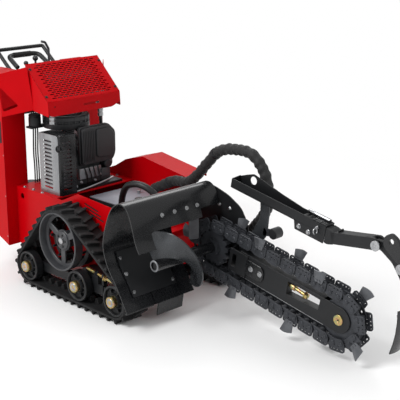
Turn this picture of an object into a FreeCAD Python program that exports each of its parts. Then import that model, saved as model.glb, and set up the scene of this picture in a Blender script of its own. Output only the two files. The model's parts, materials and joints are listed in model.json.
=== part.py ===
import FreeCAD, Part
import math
import os

V = FreeCAD.Vector

# Walk-behind track trencher, millimetres, +X towards the boom, +Y to the machine's left, +Z up.
# The machine is laid out about DESIGN_ORIGIN (middle road wheel, machine centre plane, floor).
# The last step moves everything so that the origin is the middle of the bottom of the whole.

# ---- tracks
TRACK_IN = 287.0
TRACK_OUT = 430.0
TRACK_MID = (TRACK_IN + TRACK_OUT) / 2
WHEEL_RADIUS = 80.0
WHEEL_Z = 113.0
WHEEL_X = {"rear": -414.0, "mid": 0.0, "front": 288.0}
SPROCKET_X = -142.0
SPROCKET_Z = 314.0
SPROCKET_RADIUS = 153.0
BELT_GAP = 0.4
BELT_THICKNESS = 12.6
LUG_HEIGHT = 20.0
LUG_COUNT = 38
GUIDE_HEIGHT = 27.0
GUIDE_HALF_WIDTH = 16.0
HUB_PROUD = 446.0

# ---- chassis and tower
CHASSIS_HALF = 275.0
CHASSIS_REAR = -700.0
CHASSIS_FRONT = 205.0
CHASSIS_BOTTOM = 140.0
DECK_Z = 470.0
PLATE = 6.0
SHEET = 3.0
TOWER_REAR = -900.0
TOWER_TOP = 1095.0
COLUMN_IN = 199.0
COLUMN_OUT = 345.0

# ---- oil cooler cover
COVER_HALF = 245.0
COVER_TOP = (-609.0, 1145.0)
COVER_LOW = (-420.0, 966.0)

# ---- digging head
HEAD_X = 505.0
HEAD_Z = 333.0
BOOM_Y = 60.0
BOOM_ANGLE = 10.7
PITCH = 45.6
HEAD_TEETH = 15
CHAIN_RADIUS = PITCH / (2 * math.sin(math.pi / HEAD_TEETH))
RUN_PITCHES = 17.5
BOOM_LENGTH = RUN_PITCHES * PITCH
LINK_COUNT = 50
BAR_HALF_HEIGHT = 62.0
BAR_HALF_WIDTH = 22.0
SHAFT_RADIUS = 20.0
AUGER_RADIUS = 160.0
AUGER_START = -350.0
AUGER_PITCH = 406.0
AUGER_TURN = 225.0
SHIELD_NEAR = -462.0
SHIELD_FAR = 108.0
SHIELD_SHEET = 5.0

# ---- crumber, in the boom's own frame (x along the boom from the head axis, z square to it)
CRUMBER_HALF = 30.0
CRUMBER_RISE = 17.6
SHOE_PIVOT = (902.0, 421.0)

# ---- lift cylinder, design frame
LIFT_BASE = (150.0, 392.0)
LIFT_EYE = (-71.5, 121.0)
LIFT_Y = 176.0

# ---- controls
LEVER_Z = 1069.0

RIGHT = -1
LEFT = 1


# ---------------------------------------------------------------- helpers

def box(x0, x1, y0, y1, z0, z1):
    """Block between two corners, given as ranges along each axis."""
    return Part.makeBox(x1 - x0, y1 - y0, z1 - z0, V(x0, y0, z0))


def rod(start, end, radius):
    """Round bar from one point to another."""
    a = V(*start)
    d = V(*end) - a
    return Part.makeCylinder(radius, d.Length, a, d)


def tube(start, end, outer, inner):
    """Round tube from one point to another."""
    return rod(start, end, outer).cut(rod(start, end, inner))


def disc_y(x, z, radius, y0, y1):
    """Disc about the Y direction."""
    return rod((x, min(y0, y1), z), (x, max(y0, y1), z), radius)


def ring_y(x, z, outer, inner, y0, y1):
    """Flat ring about the Y direction."""
    return disc_y(x, z, outer, y0, y1).cut(disc_y(x, z, inner, y0, y1))


def corner_arc(before, corner, after, radius):
    """End, middle and start points of the arc that rounds one corner."""
    u = (before - corner).normalize()
    w = (after - corner).normalize()
    half = u.getAngle(w) / 2
    bisector = (u + w).normalize()
    reach = radius / math.tan(half)
    centre = corner + bisector * (radius / math.sin(half))
    return corner + u * reach, centre - bisector * radius, corner + w * reach


def path(points, radius, closed=False):
    """Wire of straight runs joined by tangent arcs of one radius."""
    pts = [V(*p) for p in points]
    count = len(pts)
    first = 0 if closed else 1
    last = count if closed else count - 1
    arcs = [corner_arc(pts[i - 1], pts[i], pts[(i + 1) % count], radius) for i in range(first, last)]
    edges = []
    if closed:
        for i, arc in enumerate(arcs):
            previous = arcs[i - 1]
            edges.append(Part.LineSegment(previous[2], arc[0]).toShape())
            edges.append(Part.Arc(*arc).toShape())
        return Part.Wire(edges)
    here = pts[0]
    for arc in arcs:
        edges.append(Part.LineSegment(here, arc[0]).toShape())
        edges.append(Part.Arc(*arc).toShape())
        here = arc[2]
    edges.append(Part.LineSegment(here, pts[-1]).toShape())
    return Part.Wire(edges)


def bent_tube(points, radius, bend):
    """Round bar bent along straight runs joined by arcs."""
    pts = [V(*p) for p in points]
    spine = path(points, bend)
    circle = Part.Circle(pts[0], (pts[1] - pts[0]).normalize(), radius).toShape()
    pipe = Part.BRepOffsetAPI.MakePipeShell(spine)
    pipe.add(Part.Wire([circle]))
    pipe.build()
    pipe.makeSolid()
    return pipe.shape()


def plate_y(points, y0, y1, radius=0.0):
    """Plate with an outline in X and Z, its corners rounded if a radius is given."""
    low = min(y0, y1)
    pts = [(x, low, z) for x, z in points]
    wire = path(pts, radius, True) if radius else Part.makePolygon([V(*p) for p in pts + pts[:1]])
    return Part.Face(wire).extrude(V(0, abs(y1 - y0), 0))


def plate_x(points, x0, x1):
    """Plate with an outline in Y and Z."""
    pts = [V(x0, y, z) for y, z in points]
    return Part.Face(Part.makePolygon(pts + pts[:1])).extrude(V(x1 - x0, 0, 0))


def plate_z(points, z0, z1, radius):
    """Plate with a rounded outline in X and Y."""
    pts = [(x, y, z0) for x, y in points]
    return Part.Face(path(pts, radius, True)).extrude(V(0, 0, z1 - z0))


def hex_head(base, axis, across, height):
    """Hexagon bolt head standing on a base point along an axis."""
    corner = across / math.sqrt(3)
    pts = [V(corner * math.cos(math.radians(a)), corner * math.sin(math.radians(a)), 0)
           for a in range(0, 361, 60)]
    head = Part.Face(Part.makePolygon(pts)).extrude(V(0, 0, height))
    head.Placement = FreeCAD.Placement(V(*base), FreeCAD.Rotation(V(0, 0, 1), V(*axis)))
    return head


def mirrored(shape):
    """The same shape on the other side of the machine."""
    return shape.mirror(V(0, 0, 0), V(0, 1, 0))


def on_side(shape, side):
    """A shape drawn for the left side, put on the side asked for."""
    return shape if side == LEFT else mirrored(shape)


def fused(shapes):
    """One solid out of several that touch or overlap."""
    return shapes[0].multiFuse(shapes[1:]).removeSplitter()


def group(shapes):
    """Several separate solids kept in one node."""
    return Part.makeCompound(shapes)


def on_boom(shape):
    """Put a shape drawn in the boom's own frame into the machine."""
    placed = shape.copy()
    placed.rotate(V(0, 0, 0), V(0, 1, 0), BOOM_ANGLE)
    placed.translate(V(HEAD_X, 0, HEAD_Z))
    return placed


def boom_point(x, z):
    """Machine X and Z of a point given in the boom's own frame."""
    a = math.radians(BOOM_ANGLE)
    return HEAD_X + x * math.cos(a) + z * math.sin(a), HEAD_Z - x * math.sin(a) + z * math.cos(a)


# ---------------------------------------------------------------- chassis and tower

def chassis_frame():
    """Welded tub: belly, side plates, end walls and the engine deck."""
    side = plate_y([(CHASSIS_REAR, CHASSIS_BOTTOM), (CHASSIS_FRONT, CHASSIS_BOTTOM),
                    (CHASSIS_FRONT, 365), (58, 371), (-290, 380), (-293, DECK_Z), (CHASSIS_REAR, DECK_Z)],
                   CHASSIS_HALF - PLATE, CHASSIS_HALF)
    axle = disc_y(SPROCKET_X, SPROCKET_Z, 32, 200, 300)
    eye = disc_y(-650, 420, 16, 200, 300)
    side = side.cut(axle).cut(eye)
    inner = CHASSIS_HALF - PLATE
    floor = box(CHASSIS_REAR, CHASSIS_FRONT, -inner, inner, CHASSIS_BOTTOM, CHASSIS_BOTTOM + PLATE)
    rear = box(CHASSIS_REAR, CHASSIS_REAR + PLATE, -inner, inner, CHASSIS_BOTTOM, DECK_Z)
    front = box(CHASSIS_FRONT - PLATE, CHASSIS_FRONT, -inner, inner, CHASSIS_BOTTOM, 365)
    deck = box(CHASSIS_REAR, -345, -inner, inner, DECK_Z - PLATE, DECK_Z)
    return fused([side, mirrored(side), floor, rear, front, deck])


def side_panel_right():
    """Red panel ahead of the right track sprocket, with three slanted slots."""
    panel = plate_y([(-290, 385), (-290, 470), (-152, 534), (120, 517), (150, 440), (150, 366), (58, 372)],
                    -CHASSIS_HALF - 4, -CHASSIS_HALF)
    for x, z in ((-95, 500), (-75, 478), (-55, 456)):
        slot = plate_y([(x, z), (x + 110, z - 22), (x + 108, z - 31), (x - 2, z - 9)], -290, -270)
        panel = panel.cut(slot)
    return panel


def side_cover_left():
    """Red cover over the left track: upright inner wall and the top sheet above the belt."""
    wall = plate_y([(-640, 470), (-508, 520), (-420, 571), (-277, 613), (79, 561), (150, 500), (150, 385),
                    (-290, 385), (-293, 470)], CHASSIS_HALF, CHASSIS_HALF + SHEET)
    top = plate_y([(-420, 571), (-277, 613), (79, 561), (79, 558), (-277, 610), (-420, 568)],
                  CHASSIS_HALF, 425)
    rear = plate_y([(-508, 520), (-420, 571), (-420, 568), (-508, 517)], CHASSIS_HALF, 425)
    lip = plate_y([(-508, 505), (-508, 520), (-420, 571), (-277, 613), (79, 561), (79, 540), (-277, 592),
                   (-420, 550)], 425 - SHEET, 425)
    return fused([wall, top, rear, lip])


def tower_column(side):
    """Folded sheet column beside the operator's window, open at the back."""
    def outline(gap):
        return [(CHASSIS_REAR - gap, 134 + gap), (CHASSIS_REAR - gap, TOWER_TOP - gap),
                (TOWER_REAR, TOWER_TOP - gap), (TOWER_REAR, 215 + gap)]
    shell = plate_y(outline(0.0), COLUMN_IN, COLUMN_OUT)
    inside = plate_y(outline(SHEET), COLUMN_IN + SHEET, COLUMN_OUT - SHEET)
    column = shell.cut(inside)
    if side == RIGHT:
        column = column.cut(box(-800, -715, COLUMN_OUT - 10, COLUMN_OUT + 10, 715, 838))
    return on_side(column, side)


def control_panel():
    """Box between the columns that carries the controls, with the shelf under the fuel tank."""
    panel = plate_y([(-705, 855), (-705, 1040), (-790, 1060), (-897, 985), (-897, 855)], -198, 198)
    shelf = box(-897, -703, -198.5, 198.5, 190, 196)
    return group([panel, shelf])


def cooler_gusset():
    """Angled sheet from the left column's corner to the cooler cover, with a triangular hole."""
    near = Part.LineSegment(V(CHASSIS_REAR, COLUMN_OUT, 862), V(CHASSIS_REAR, COLUMN_OUT, TOWER_TOP))
    far = Part.LineSegment(V(-555, COVER_HALF, 906), V(COVER_TOP[0], COVER_HALF, COVER_TOP[1]))
    skin = Part.makeRuledSurface(near.toShape(), far.toShape())
    outward = V(1, 1, 0).normalize()
    sheet = skin.extrude(outward * SHEET)
    hole_points = [(-684, 329, 1050), (-622, 267, 915), (-684, 329, 890)]
    hole = Part.Face(path(hole_points, 9, True)).extrude(outward * 80)
    hole.translate(outward * -40)
    return sheet.cut(hole)


def cooler_gussets():
    """Both gussets."""
    sheet = cooler_gusset()
    return group([mirrored(sheet), sheet])


def cooler_cover():
    """Sloped cover over the oil cooler: top sheet, front flange and side plates."""
    half = COVER_HALF - SHEET
    top = plate_y([COVER_TOP, COVER_LOW, (-424.4, 966), (-609, 1140.8)], -half, half)
    front = plate_y([COVER_LOW, (-415, 887), (-418, 887), (-424.4, 966)], -half, half)
    side = plate_y([COVER_TOP, COVER_LOW, (-415, 887), (-551, 903)], half, COVER_HALF)
    return fused([top, front, side, mirrored(side)])


def oil_cooler():
    """Finned core under the cover, its end tanks and its two elbow fittings."""
    slope = math.degrees(math.atan2(COVER_TOP[1] - COVER_LOW[1], COVER_LOW[0] - COVER_TOP[0]))
    core = box(28, 232, -150, 165, -50, -14)
    tank_near = box(28, 232, -170, -150, -47, -17)
    tank_far = box(28, 232, 165, 185, -47, -17)
    solids = [core, tank_near, tank_far]
    for solid in solids:
        solid.rotate(V(0, 0, 0), V(0, 1, 0), slope)
        solid.translate(V(COVER_TOP[0], 0, COVER_TOP[1]))
    for y in (-205, 120):
        solids.append(bent_tube([(-458, y, 925), (-440, y, 884), (-440, y, 842)], 11, 18))
    return group(solids)


def reference_bar():
    """Operator's steel grab loop behind the controls."""
    return bent_tube([(-860, -155, 1061), (-940, -155, 1120), (-1000, -155, 1170), (-1000, 155, 1170),
                      (-940, 155, 1120), (-860, 155, 1061)], 11, 30)


def fuel_tank():
    """Moulded fuel tank on its shelf, with the filler cap."""
    tank = plate_z([(-890, -185), (-712, -185), (-712, 185), (-890, 185)], 196, 418, 28)
    cap = rod((-800, -110, 418), (-800, -110, 444), 38)
    return group([tank, cap])


# ---------------------------------------------------------------- engine

def engine_block():
    """Crankcase on its mounting rails with the two cylinders of a V twin."""
    base = box(-660, -360, -120, 200, DECK_Z, 484)
    case = plate_y([(-640, 484), (-430, 484), (-430, 640), (-480, 700), (-590, 700), (-640, 640)], -100, 150)
    heads = []
    for tilt in (-1, 1):
        head = box(-52, 52, -75, 75, 60, 190)
        head.rotate(V(0, 0, 0), V(0, 1, 0), tilt * 34)
        head.translate(V(-535, 20, 590))
        heads.append(head)
    engine = fused([base, case] + heads)
    return engine.cut(box(-1000, 0, -400, 400, 796, 1200)).cut(box(-398, 0, -400, 400, 500, 900))


def blower_housing():
    """Fan shroud on top of the engine and the oil filter canister beside it."""
    shroud = rod((-540, -40, 796), (-540, -40, 868), 128)
    screen = rod((-540, -40, 868), (-540, -40, 878), 90)
    canister = rod((-612, -196, 806), (-612, -196, 872), 34)
    foot = box(-640, -590, -235, -100, 796, 806)
    return fused([shroud, screen, canister, foot])


def air_cleaner():
    """Moulded air cleaner housing on the front of the engine."""
    body = plate_x([(-78, 812), (120, 812), (164, 770), (164, 640), (140, 600), (-78, 600)], -398, -350)
    return body.makeFillet(8, [e for e in body.Edges if abs(e.BoundBox.XMin + 350) < 0.1
                               and abs(e.BoundBox.XMax + 350) < 0.1])


def muffler():
    """Muffler can behind its guard, with its outlet."""
    can = box(-500, -372, -222, -152, 500, 770)
    outlet = rod((-385, -222, 720), (-385, -238, 720), 17)
    return fused([can, outlet])


def muffler_guard():
    """Slotted guard folded round the muffler: plain side towards the track, dark front."""
    shell = box(-520, -345, -240, -130, DECK_Z, 795)
    guard = shell.cut(box(-600, -347, -238, -100, DECK_Z - 10, 793))
    for row in range(13):
        z = 500 + row * 21
        guard = guard.cut(box(-490, -410, -250, -230, z, z + 9))
        guard = guard.cut(box(-350, -340, -215, -165, z, z + 9))
    return guard.cut(disc_y(-385, 720, 19, -250, -230))


def hydraulic_pump():
    """Tandem pump on the end of the engine's crankcase."""
    body = rod((-535, 150, 560), (-535, 235, 560), 48)
    flange = box(-595, -475, 150, 162, 500, 620)
    ports = [rod((-535, y, 600), (-535, y, 630), 12) for y in (185, 218)]
    return fused([body, flange] + ports)


def hydraulic_tank():
    """Oil tank with its flat grey top between the engine and the digging head."""
    tank = box(-335, 60, -60, 240, 150, 440)
    cap = rod((-60, 60, 440), (-60, 60, 462), 26)
    return fused([tank, cap])


def hoses_and_cables():
    """Thick return hose over the deck, the cooler hose and the control cables beside the tower."""
    hose = bent_tube([(-40, -100, 410), (-20, -100, 560), (120, -100, 615), (215, -60, 560),
                      (240, -30, 490)], 17, 50)
    cooler = bent_tube([(-440, 120, 842), (-440, 120, 795), (-452, 138, 750), (-470, 160, 706)], 9, 40)
    cables = []
    for step in range(3):
        y = -170 + 14 * step
        top = 850 - 20 * step
        cables.append(bent_tube([(-700, y, 900), (-672, y, 880), (-664, y, top - 60), (-676, y, 640),
                                 (-668, y, 560), (-672, y, DECK_Z + 2)], 4, 24))
    return group([hose, cooler] + cables)


# ---------------------------------------------------------------- tracks

def belt_circles():
    """Centres and radii that the belt runs round, counter-clockwise seen from the right side."""
    wheels = [(WHEEL_X["rear"], WHEEL_Z, WHEEL_RADIUS), (WHEEL_X["front"], WHEEL_Z, WHEEL_RADIUS)]
    return wheels + [(SPROCKET_X, SPROCKET_Z, SPROCKET_RADIUS)]


def belt_normals():
    """Direction from each circle to where the belt leaves it for the next one."""
    circles = belt_circles()
    angles = []
    for i, (ax, az, ar) in enumerate(circles):
        bx, bz, br = circles[(i + 1) % len(circles)]
        reach = math.hypot(bx - ax, bz - az)
        angles.append(math.atan2(bz - az, bx - ax) - math.pi / 2 + math.asin((ar - br) / reach))
    return angles


def belt_wire(offset):
    """Closed line round the wheels and sprocket at a distance outside them."""
    circles = belt_circles()
    normals = belt_normals()
    edges = []
    for i, (x, z, r) in enumerate(circles):
        start = normals[i - 1]
        end = normals[i]
        while end < start:
            end += 2 * math.pi
        radius = r + offset
        ring = [V(x + radius * math.cos(a), 0, z + radius * math.sin(a))
                for a in (start, (start + end) / 2, end)]
        edges.append(Part.Arc(*ring).toShape())
        nx, nz, nr = circles[(i + 1) % len(circles)]
        to = V(nx + (nr + offset) * math.cos(normals[i]), 0, nz + (nr + offset) * math.sin(normals[i]))
        edges.append(Part.LineSegment(ring[2], to).toShape())
    return Part.Wire(edges)


def track_belt(side):
    """Rubber belt: carcass, outer lugs and the inner guide blocks."""
    outer = Part.Face(belt_wire(BELT_GAP + BELT_THICKNESS))
    inner = Part.Face(belt_wire(BELT_GAP))
    carcass = outer.cut(inner).extrude(V(0, TRACK_OUT - TRACK_IN, 0))
    carcass.translate(V(0, TRACK_IN, 0))
    line = belt_wire(BELT_GAP + BELT_THICKNESS / 2)
    step = line.Length / LUG_COUNT
    solids = [carcass]
    half = BELT_THICKNESS / 2
    for point, tangent in belt_stations(line, step):
        lug = box(-13, 13, TRACK_IN, TRACK_OUT, half - 2, half + LUG_HEIGHT)
        tip = -half - GUIDE_HEIGHT
        guide = plate_y([(-17, 2 - half), (17, 2 - half), (6, tip), (-6, tip)],
                        TRACK_MID - GUIDE_HALF_WIDTH, TRACK_MID + GUIDE_HALF_WIDTH)
        turn = -math.degrees(math.atan2(tangent.z, tangent.x)) + 180
        for solid in (lug, guide):
            solid.rotate(V(0, 0, 0), V(0, 1, 0), turn)
            solid.translate(point)
            solids.append(solid)
    return on_side(fused(solids), side)


def belt_stations(line, step):
    """Points and directions at equal steps along the belt."""
    stations = []
    travelled = 0.0
    target = step / 2
    for edge in line.OrderedEdges:
        while target < travelled + edge.Length:
            at = edge.getParameterByLength(target - travelled)
            if edge.Orientation == "Reversed":
                at = edge.getParameterByLength(edge.Length - (target - travelled))
            direction = edge.tangentAt(at)
            if edge.Orientation == "Reversed":
                direction = direction * -1
            stations.append((edge.valueAt(at), direction))
            target += step
        travelled += edge.Length
    return stations


def track_frame(side):
    """Centre beam between the wheel halves, its cross tubes to the chassis and the wheel axles."""
    beam = box(-440, 150, TRACK_MID - 15, TRACK_MID + 15, 90, 142)
    nose = box(140, 228, TRACK_MID - 11, TRACK_MID + 11, 97, 135)
    beam = beam.cut(box(128, 160, TRACK_MID - 12, TRACK_MID + 12, 96, 136))
    tubes = [rod((x, CHASSIS_HALF, 160), (x, TRACK_MID, 160), 20) for x in (-250, 90)]
    gussets = [box(x - 24, x + 24, TRACK_MID - 15, TRACK_MID + 15, 130, 182) for x in (-250, 90)]
    axles = [disc_y(x, WHEEL_Z, 14, TRACK_IN + 8, HUB_PROUD - 8) for x in WHEEL_X.values()]
    fork = fused([nose, box(228, 302, TRACK_MID - 11, TRACK_MID + 11, 97, 129), axles[2]])
    frame = fused([beam] + tubes + gussets + axles[:2])
    return on_side(group([frame, fork]), side)


def track_tensioners():
    """Threaded tension rods that push the front wheel forks out, one a side."""
    pieces = []
    for side in (RIGHT, LEFT):
        y = side * TRACK_MID
        screw = rod((152, y, 150), (262, y, 150), 8)
        nut = hex_head((168, y, 150), (1, 0, 0), 26, 12)
        lug = box(246, 262, y - 11, y + 11, 135.5, 162)
        foot = box(140, 154, y - 14, y + 14, 142.5, 164)
        pieces.append(fused([screw, nut, lug, foot]))
    return group(pieces)


def drive_motors():
    """Hydraulic wheel motors inside the chassis, one a side."""
    motor = disc_y(SPROCKET_X, SPROCKET_Z, 55, 245, CHASSIS_HALF - PLATE)
    body = fused([motor, disc_y(SPROCKET_X, SPROCKET_Z, 30, 243, 268)])
    return group([mirrored(body), body])


def drive_sprocket(side):
    """Track sprocket: two rims, three-spoke outer web set deep in the rim, hub and drive bars."""
    x, z = SPROCKET_X, SPROCKET_Z
    clear = SPROCKET_RADIUS
    outer_rim = ring_y(x, z, clear, 128, TRACK_MID + 21, TRACK_OUT - 2)
    inner_rim = ring_y(x, z, clear, 128, TRACK_IN + 4, TRACK_MID - 21)
    web = ring_y(x, z, 130, 30, TRACK_MID + 21, TRACK_MID + 33)
    for spoke in range(3):
        window = disc_y(x, z, 116, 300, 440).cut(disc_y(x, z, 52, 300, 440))
        wedge = plate_y([(x, z), (x + 300, z - 128), (x + 300, z + 128)], 300, 440)
        opening = window.common(wedge)
        opening.rotate(V(x, 0, z), V(0, 1, 0), 120 * spoke + 30)
        web = web.cut(opening)
    hub = disc_y(x, z, 44, CHASSIS_HALF + 4, TRACK_MID + 40)
    stub = disc_y(x, z, 29, CHASSIS_HALF - PLATE + 0.5, CHASSIS_HALF + 4)
    inner_web = ring_y(x, z, 130, 30, TRACK_IN + 4, TRACK_IN + 14)
    bars = []
    for k in range(12):
        a = math.radians(30 * k)
        centre = (x + 111 * math.cos(a), z + 111 * math.sin(a))
        bars.append(disc_y(centre[0], centre[1], 7, TRACK_IN + 10, TRACK_MID + 28))
    return on_side(fused([outer_rim, inner_rim, web, inner_web, hub, stub] + bars), side)


def road_wheel(where, side):
    """Twin-rim road wheel on its hub, with the bearing cap proud of the track."""
    x = WHEEL_X[where]
    face = TRACK_OUT - 6
    outer = ring_y(x, WHEEL_Z, WHEEL_RADIUS, 15, TRACK_MID + 21, face)
    dish = ring_y(x, WHEEL_Z, 62, 34, face - 14, face)
    inner = ring_y(x, WHEEL_Z, WHEEL_RADIUS, 15, TRACK_IN + 4, TRACK_MID - 21)
    cap = disc_y(x, WHEEL_Z, 30, face, HUB_PROUD).cut(disc_y(x, WHEEL_Z, 15, face - 1, HUB_PROUD - 6))
    return on_side(group([outer.cut(dish), inner, cap]), side)


# ---------------------------------------------------------------- shield round the digging head

def shield_outline():
    """Points of the shield's outer curve, from its bottom edge over the top to the front lip."""
    return [(432, 101), (389, 173), (349, 234), (306, 290), (280, 345), (268, 401), (273, 448), (293, 512),
            (325, 582), (360, 622), (399, 638), (436, 629), (466, 590), (487, 533), (510, 462), (533, 425)]


def curved_sheet(points, thickness, y0, y1):
    """Sheet of even thickness that follows a smooth curve in X and Z."""
    outer = Part.BSplineCurve()
    outer.interpolate([V(x, y0, z) for x, z in points])
    first, last = outer.FirstParameter, outer.LastParameter
    inside = []
    for i in range(41):
        at = first + (last - first) * i / 40
        tangent = outer.tangent(at)[0]
        inside.append(outer.value(at) + V(tangent.z, 0, -tangent.x).normalize() * thickness)
    inner = Part.BSplineCurve()
    inner.interpolate(inside)
    edges = [outer.toShape(), Part.LineSegment(V(*points_3d(points[-1], y0)), inside[-1]).toShape(),
             inner.toShape(), Part.LineSegment(inside[0], V(*points_3d(points[0], y0))).toShape()]
    return Part.Face(Part.Wire(Part.sortEdges(edges)[0])).extrude(V(0, y1 - y0, 0))


def points_3d(point, y):
    """An X and Z pair with its Y put in."""
    return point[0], y, point[1]


def auger_shield():
    """Curved steel shield over the auger and the chain, with the flat wear plate bolted inside."""
    hood = curved_sheet(shield_outline(), SHIELD_SHEET, SHIELD_NEAR, SHIELD_FAR)
    sweep_auger = disc_y(HEAD_X, HEAD_Z, AUGER_RADIUS + 6, -356, SHIELD_FAR + 5)
    sweep_chain = disc_y(HEAD_X, HEAD_Z, 210, -22, SHIELD_FAR + 5)
    below_chain = box(200, 700, -22, SHIELD_FAR + 5, 0, 430)
    hood = hood.cut(sweep_auger).cut(sweep_chain).cut(below_chain)
    hood = hood.cut(box(440, 600, SHIELD_NEAR - 5, -300, 60, 300))
    flange = box(420, 435, SHIELD_NEAR, -290, 97, 103)
    wear = plate_y([(337, 252), (318, 278), (311, 273), (330, 247)], -380, -110)
    return group([fused([hood, flange]), wear])


def shield_flap():
    """Hanging rubber flap at the shield's front lip."""
    outline = [(-290, 541), (-290, 508), (-92, 508), (-92, 395), (-26, 384), (-26, 541)]
    return plate_x(outline, 470, 476)


def shield_skid():
    """Bent deflector plate under the shield's bottom edge."""
    upper = plate_y([(396, 178), (400, 178), (443, 106), (438, 106)], -283, -115)
    lower = plate_y([(438, 106), (443, 106), (431, 38), (426, 38)], -268, -100)
    return fused([upper, lower])


def chain_guard():
    """Round-nosed guard plate on the far side of the chain, tied to the shield."""
    side = plate_y([(300, 440), (380, 560), (520, 560), (640, 520), (670, 430), (650, 300), (560, 210),
                    (430, 190), (300, 300)], 122, 128, 40)
    roof = curved_sheet([(330, 582), (365, 618), (399, 634), (440, 622), (480, 606), (560, 585),
                         (640, 560)], 5, SHIELD_FAR, 130)
    web = box(395, 401, 122, 128, 540, 633)
    guard = fused([side, roof, web])
    return guard.cut(disc_y(HEAD_X, HEAD_Z, 57, 100, 140))


def trencher_motor():
    """Hydraulic motor and bearing housing that carry the head shaft on the far side."""
    housing = ring_y(HEAD_X, HEAD_Z, 54, SHAFT_RADIUS + 0.5, 150, 200)
    motor = disc_y(HEAD_X, HEAD_Z, 48, 236, 330)
    bridge = fused([box(262, HEAD_X, 200, 236, 306, 360), disc_y(HEAD_X, HEAD_Z, 54, 200, 236)])
    port = rod((HEAD_X, 283, HEAD_Z), (543, 283, 374), 18)
    bore = disc_y(HEAD_X, HEAD_Z, SHAFT_RADIUS + 0.5, 100, 236)
    return fused([housing, motor, bridge, port]).cut(bore)


def head_beam():
    """Cross members that tie the shield, the motor carrier and the chassis together."""
    return fused([box(CHASSIS_FRONT, 262, -262, 262, 330, 362), box(255, 274, -262, -40, 330, 350)])


def machine_bolts():
    """Hex bolts of the shield, wear plate and guard."""
    heads = []
    for y in (-340, -250, -150):
        heads.append(hex_head((337 - 3 + 4, y, 258), (0.81, 0, 0.59), 16, 7))
    for x, z in ((578, 385), (436, 395)):
        heads.append(hex_head((x, 122, z), (0, -1, 0), 16, 6))
    for x in (-640, -560, -480):
        for y in (-262, 262):
            heads.append(hex_head((x, y, DECK_Z), (0, 0, 1), 14, 6))
    return group(heads)


# ---------------------------------------------------------------- digging head

def head_shaft():
    """Drive shaft through the bearing housing, the sprocket and into the auger tube."""
    return disc_y(HEAD_X, HEAD_Z, SHAFT_RADIUS, AUGER_START + 8, 235)


def head_sprocket():
    """Chain sprocket with its hub; its teeth stop just inside the chain's rollers."""
    root = 80.0
    tip = CHAIN_RADIUS - 13.5
    points = []
    for tooth in range(HEAD_TEETH):
        middle = 2 * math.pi * tooth / HEAD_TEETH
        for reach, offset in ((root, -0.45), (tip, -0.2), (tip, 0.2), (root, 0.45)):
            a = middle + offset * 2 * math.pi / HEAD_TEETH
            points.append((HEAD_X + reach * math.cos(a), HEAD_Z + reach * math.sin(a)))
    plate = plate_y(points, BOOM_Y - 14, BOOM_Y + 14)
    hub = disc_y(HEAD_X, HEAD_Z, 42, BOOM_Y - 30, BOOM_Y + 30)
    return fused([plate, hub]).cut(disc_y(HEAD_X, HEAD_Z, SHAFT_RADIUS + 0.1, 0, 120))


def auger():
    """Spoil auger: tube and a single wrapped flight."""
    tube_part = ring_y(HEAD_X, HEAD_Z, 28, SHAFT_RADIUS + 0.1, AUGER_START, BOOM_Y - 31)
    length = AUGER_PITCH * AUGER_TURN / 360
    helix = Part.makeHelix(AUGER_PITCH, length, 100)
    profile = Part.makePolygon([V(24, 0, -4), V(AUGER_RADIUS, 0, -4), V(AUGER_RADIUS, 0, 4), V(24, 0, 4),
                                V(24, 0, -4)])
    sweep = Part.BRepOffsetAPI.MakePipeShell(Part.Wire(helix.Edges))
    sweep.setFrenetMode(True)
    sweep.add(Part.Wire(profile.Edges))
    sweep.build()
    sweep.makeSolid()
    flight = sweep.shape()
    flight.rotate(V(0, 0, 0), V(1, 0, 0), -90)
    flight.rotate(V(0, 0, 0), V(0, 1, 0), -125)
    flight.translate(V(HEAD_X, AUGER_START + 5, HEAD_Z))
    ends = disc_y(HEAD_X, HEAD_Z, AUGER_RADIUS + 5, AUGER_START, -92)
    bore = disc_y(HEAD_X, HEAD_Z, SHAFT_RADIUS + 0.1, AUGER_START - 5, BOOM_Y)
    return fused([tube_part, flight.common(ends)]).cut(bore)


def chain_point(station):
    """Place and heading (degrees) on the chain line, a distance along it counted in pitches."""
    s = station % LINK_COUNT
    half_turn = HEAD_TEETH / 2
    step = 360.0 / HEAD_TEETH
    if s < RUN_PITCHES:
        return s * PITCH, CHAIN_RADIUS, 0.0
    if s < RUN_PITCHES + half_turn:
        a = (s - RUN_PITCHES) * step
        return (BOOM_LENGTH + CHAIN_RADIUS * math.sin(math.radians(a)),
                CHAIN_RADIUS * math.cos(math.radians(a)), a)
    if s < 2 * RUN_PITCHES + half_turn:
        return BOOM_LENGTH - (s - RUN_PITCHES - half_turn) * PITCH, -CHAIN_RADIUS, 180.0
    a = (s - 2 * RUN_PITCHES - half_turn) * step
    return -CHAIN_RADIUS * math.sin(math.radians(a)), -CHAIN_RADIUS * math.cos(math.radians(a)), 180.0 + a


def on_link(shape, pin):
    """Put a shape drawn about the middle of a link (x along it, z outward) on the link after a pin."""
    ax, az, _ = chain_point(pin)
    bx, bz, _ = chain_point(pin + 1)
    placed = shape.copy()
    placed.rotate(V(0, 0, 0), V(0, 1, 0), math.degrees(math.atan2(az - bz, bx - ax)))
    placed.translate(V((ax + bx) / 2, BOOM_Y, (az + bz) / 2))
    return placed


def outer_plate():
    """Outer side plate of the chain with its cutter mounting edge, drawn on the +Y side."""
    outline = [(-42, -2), (-42, 40), (42, 40), (42, -2), (24, -22), (-24, -22)]
    plate = plate_y(outline, 25.5, 32.5)
    for x, half in ((-22, 7), (8, 4), (24, 4)):
        plate = plate.cut(box(x - half, x + half, 20, 40, 26, 34))
    heads = [disc_y(x, 0, 11, 32.5, 37) for x in (-PITCH / 2, PITCH / 2)]
    return fused([plate] + heads)


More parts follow.
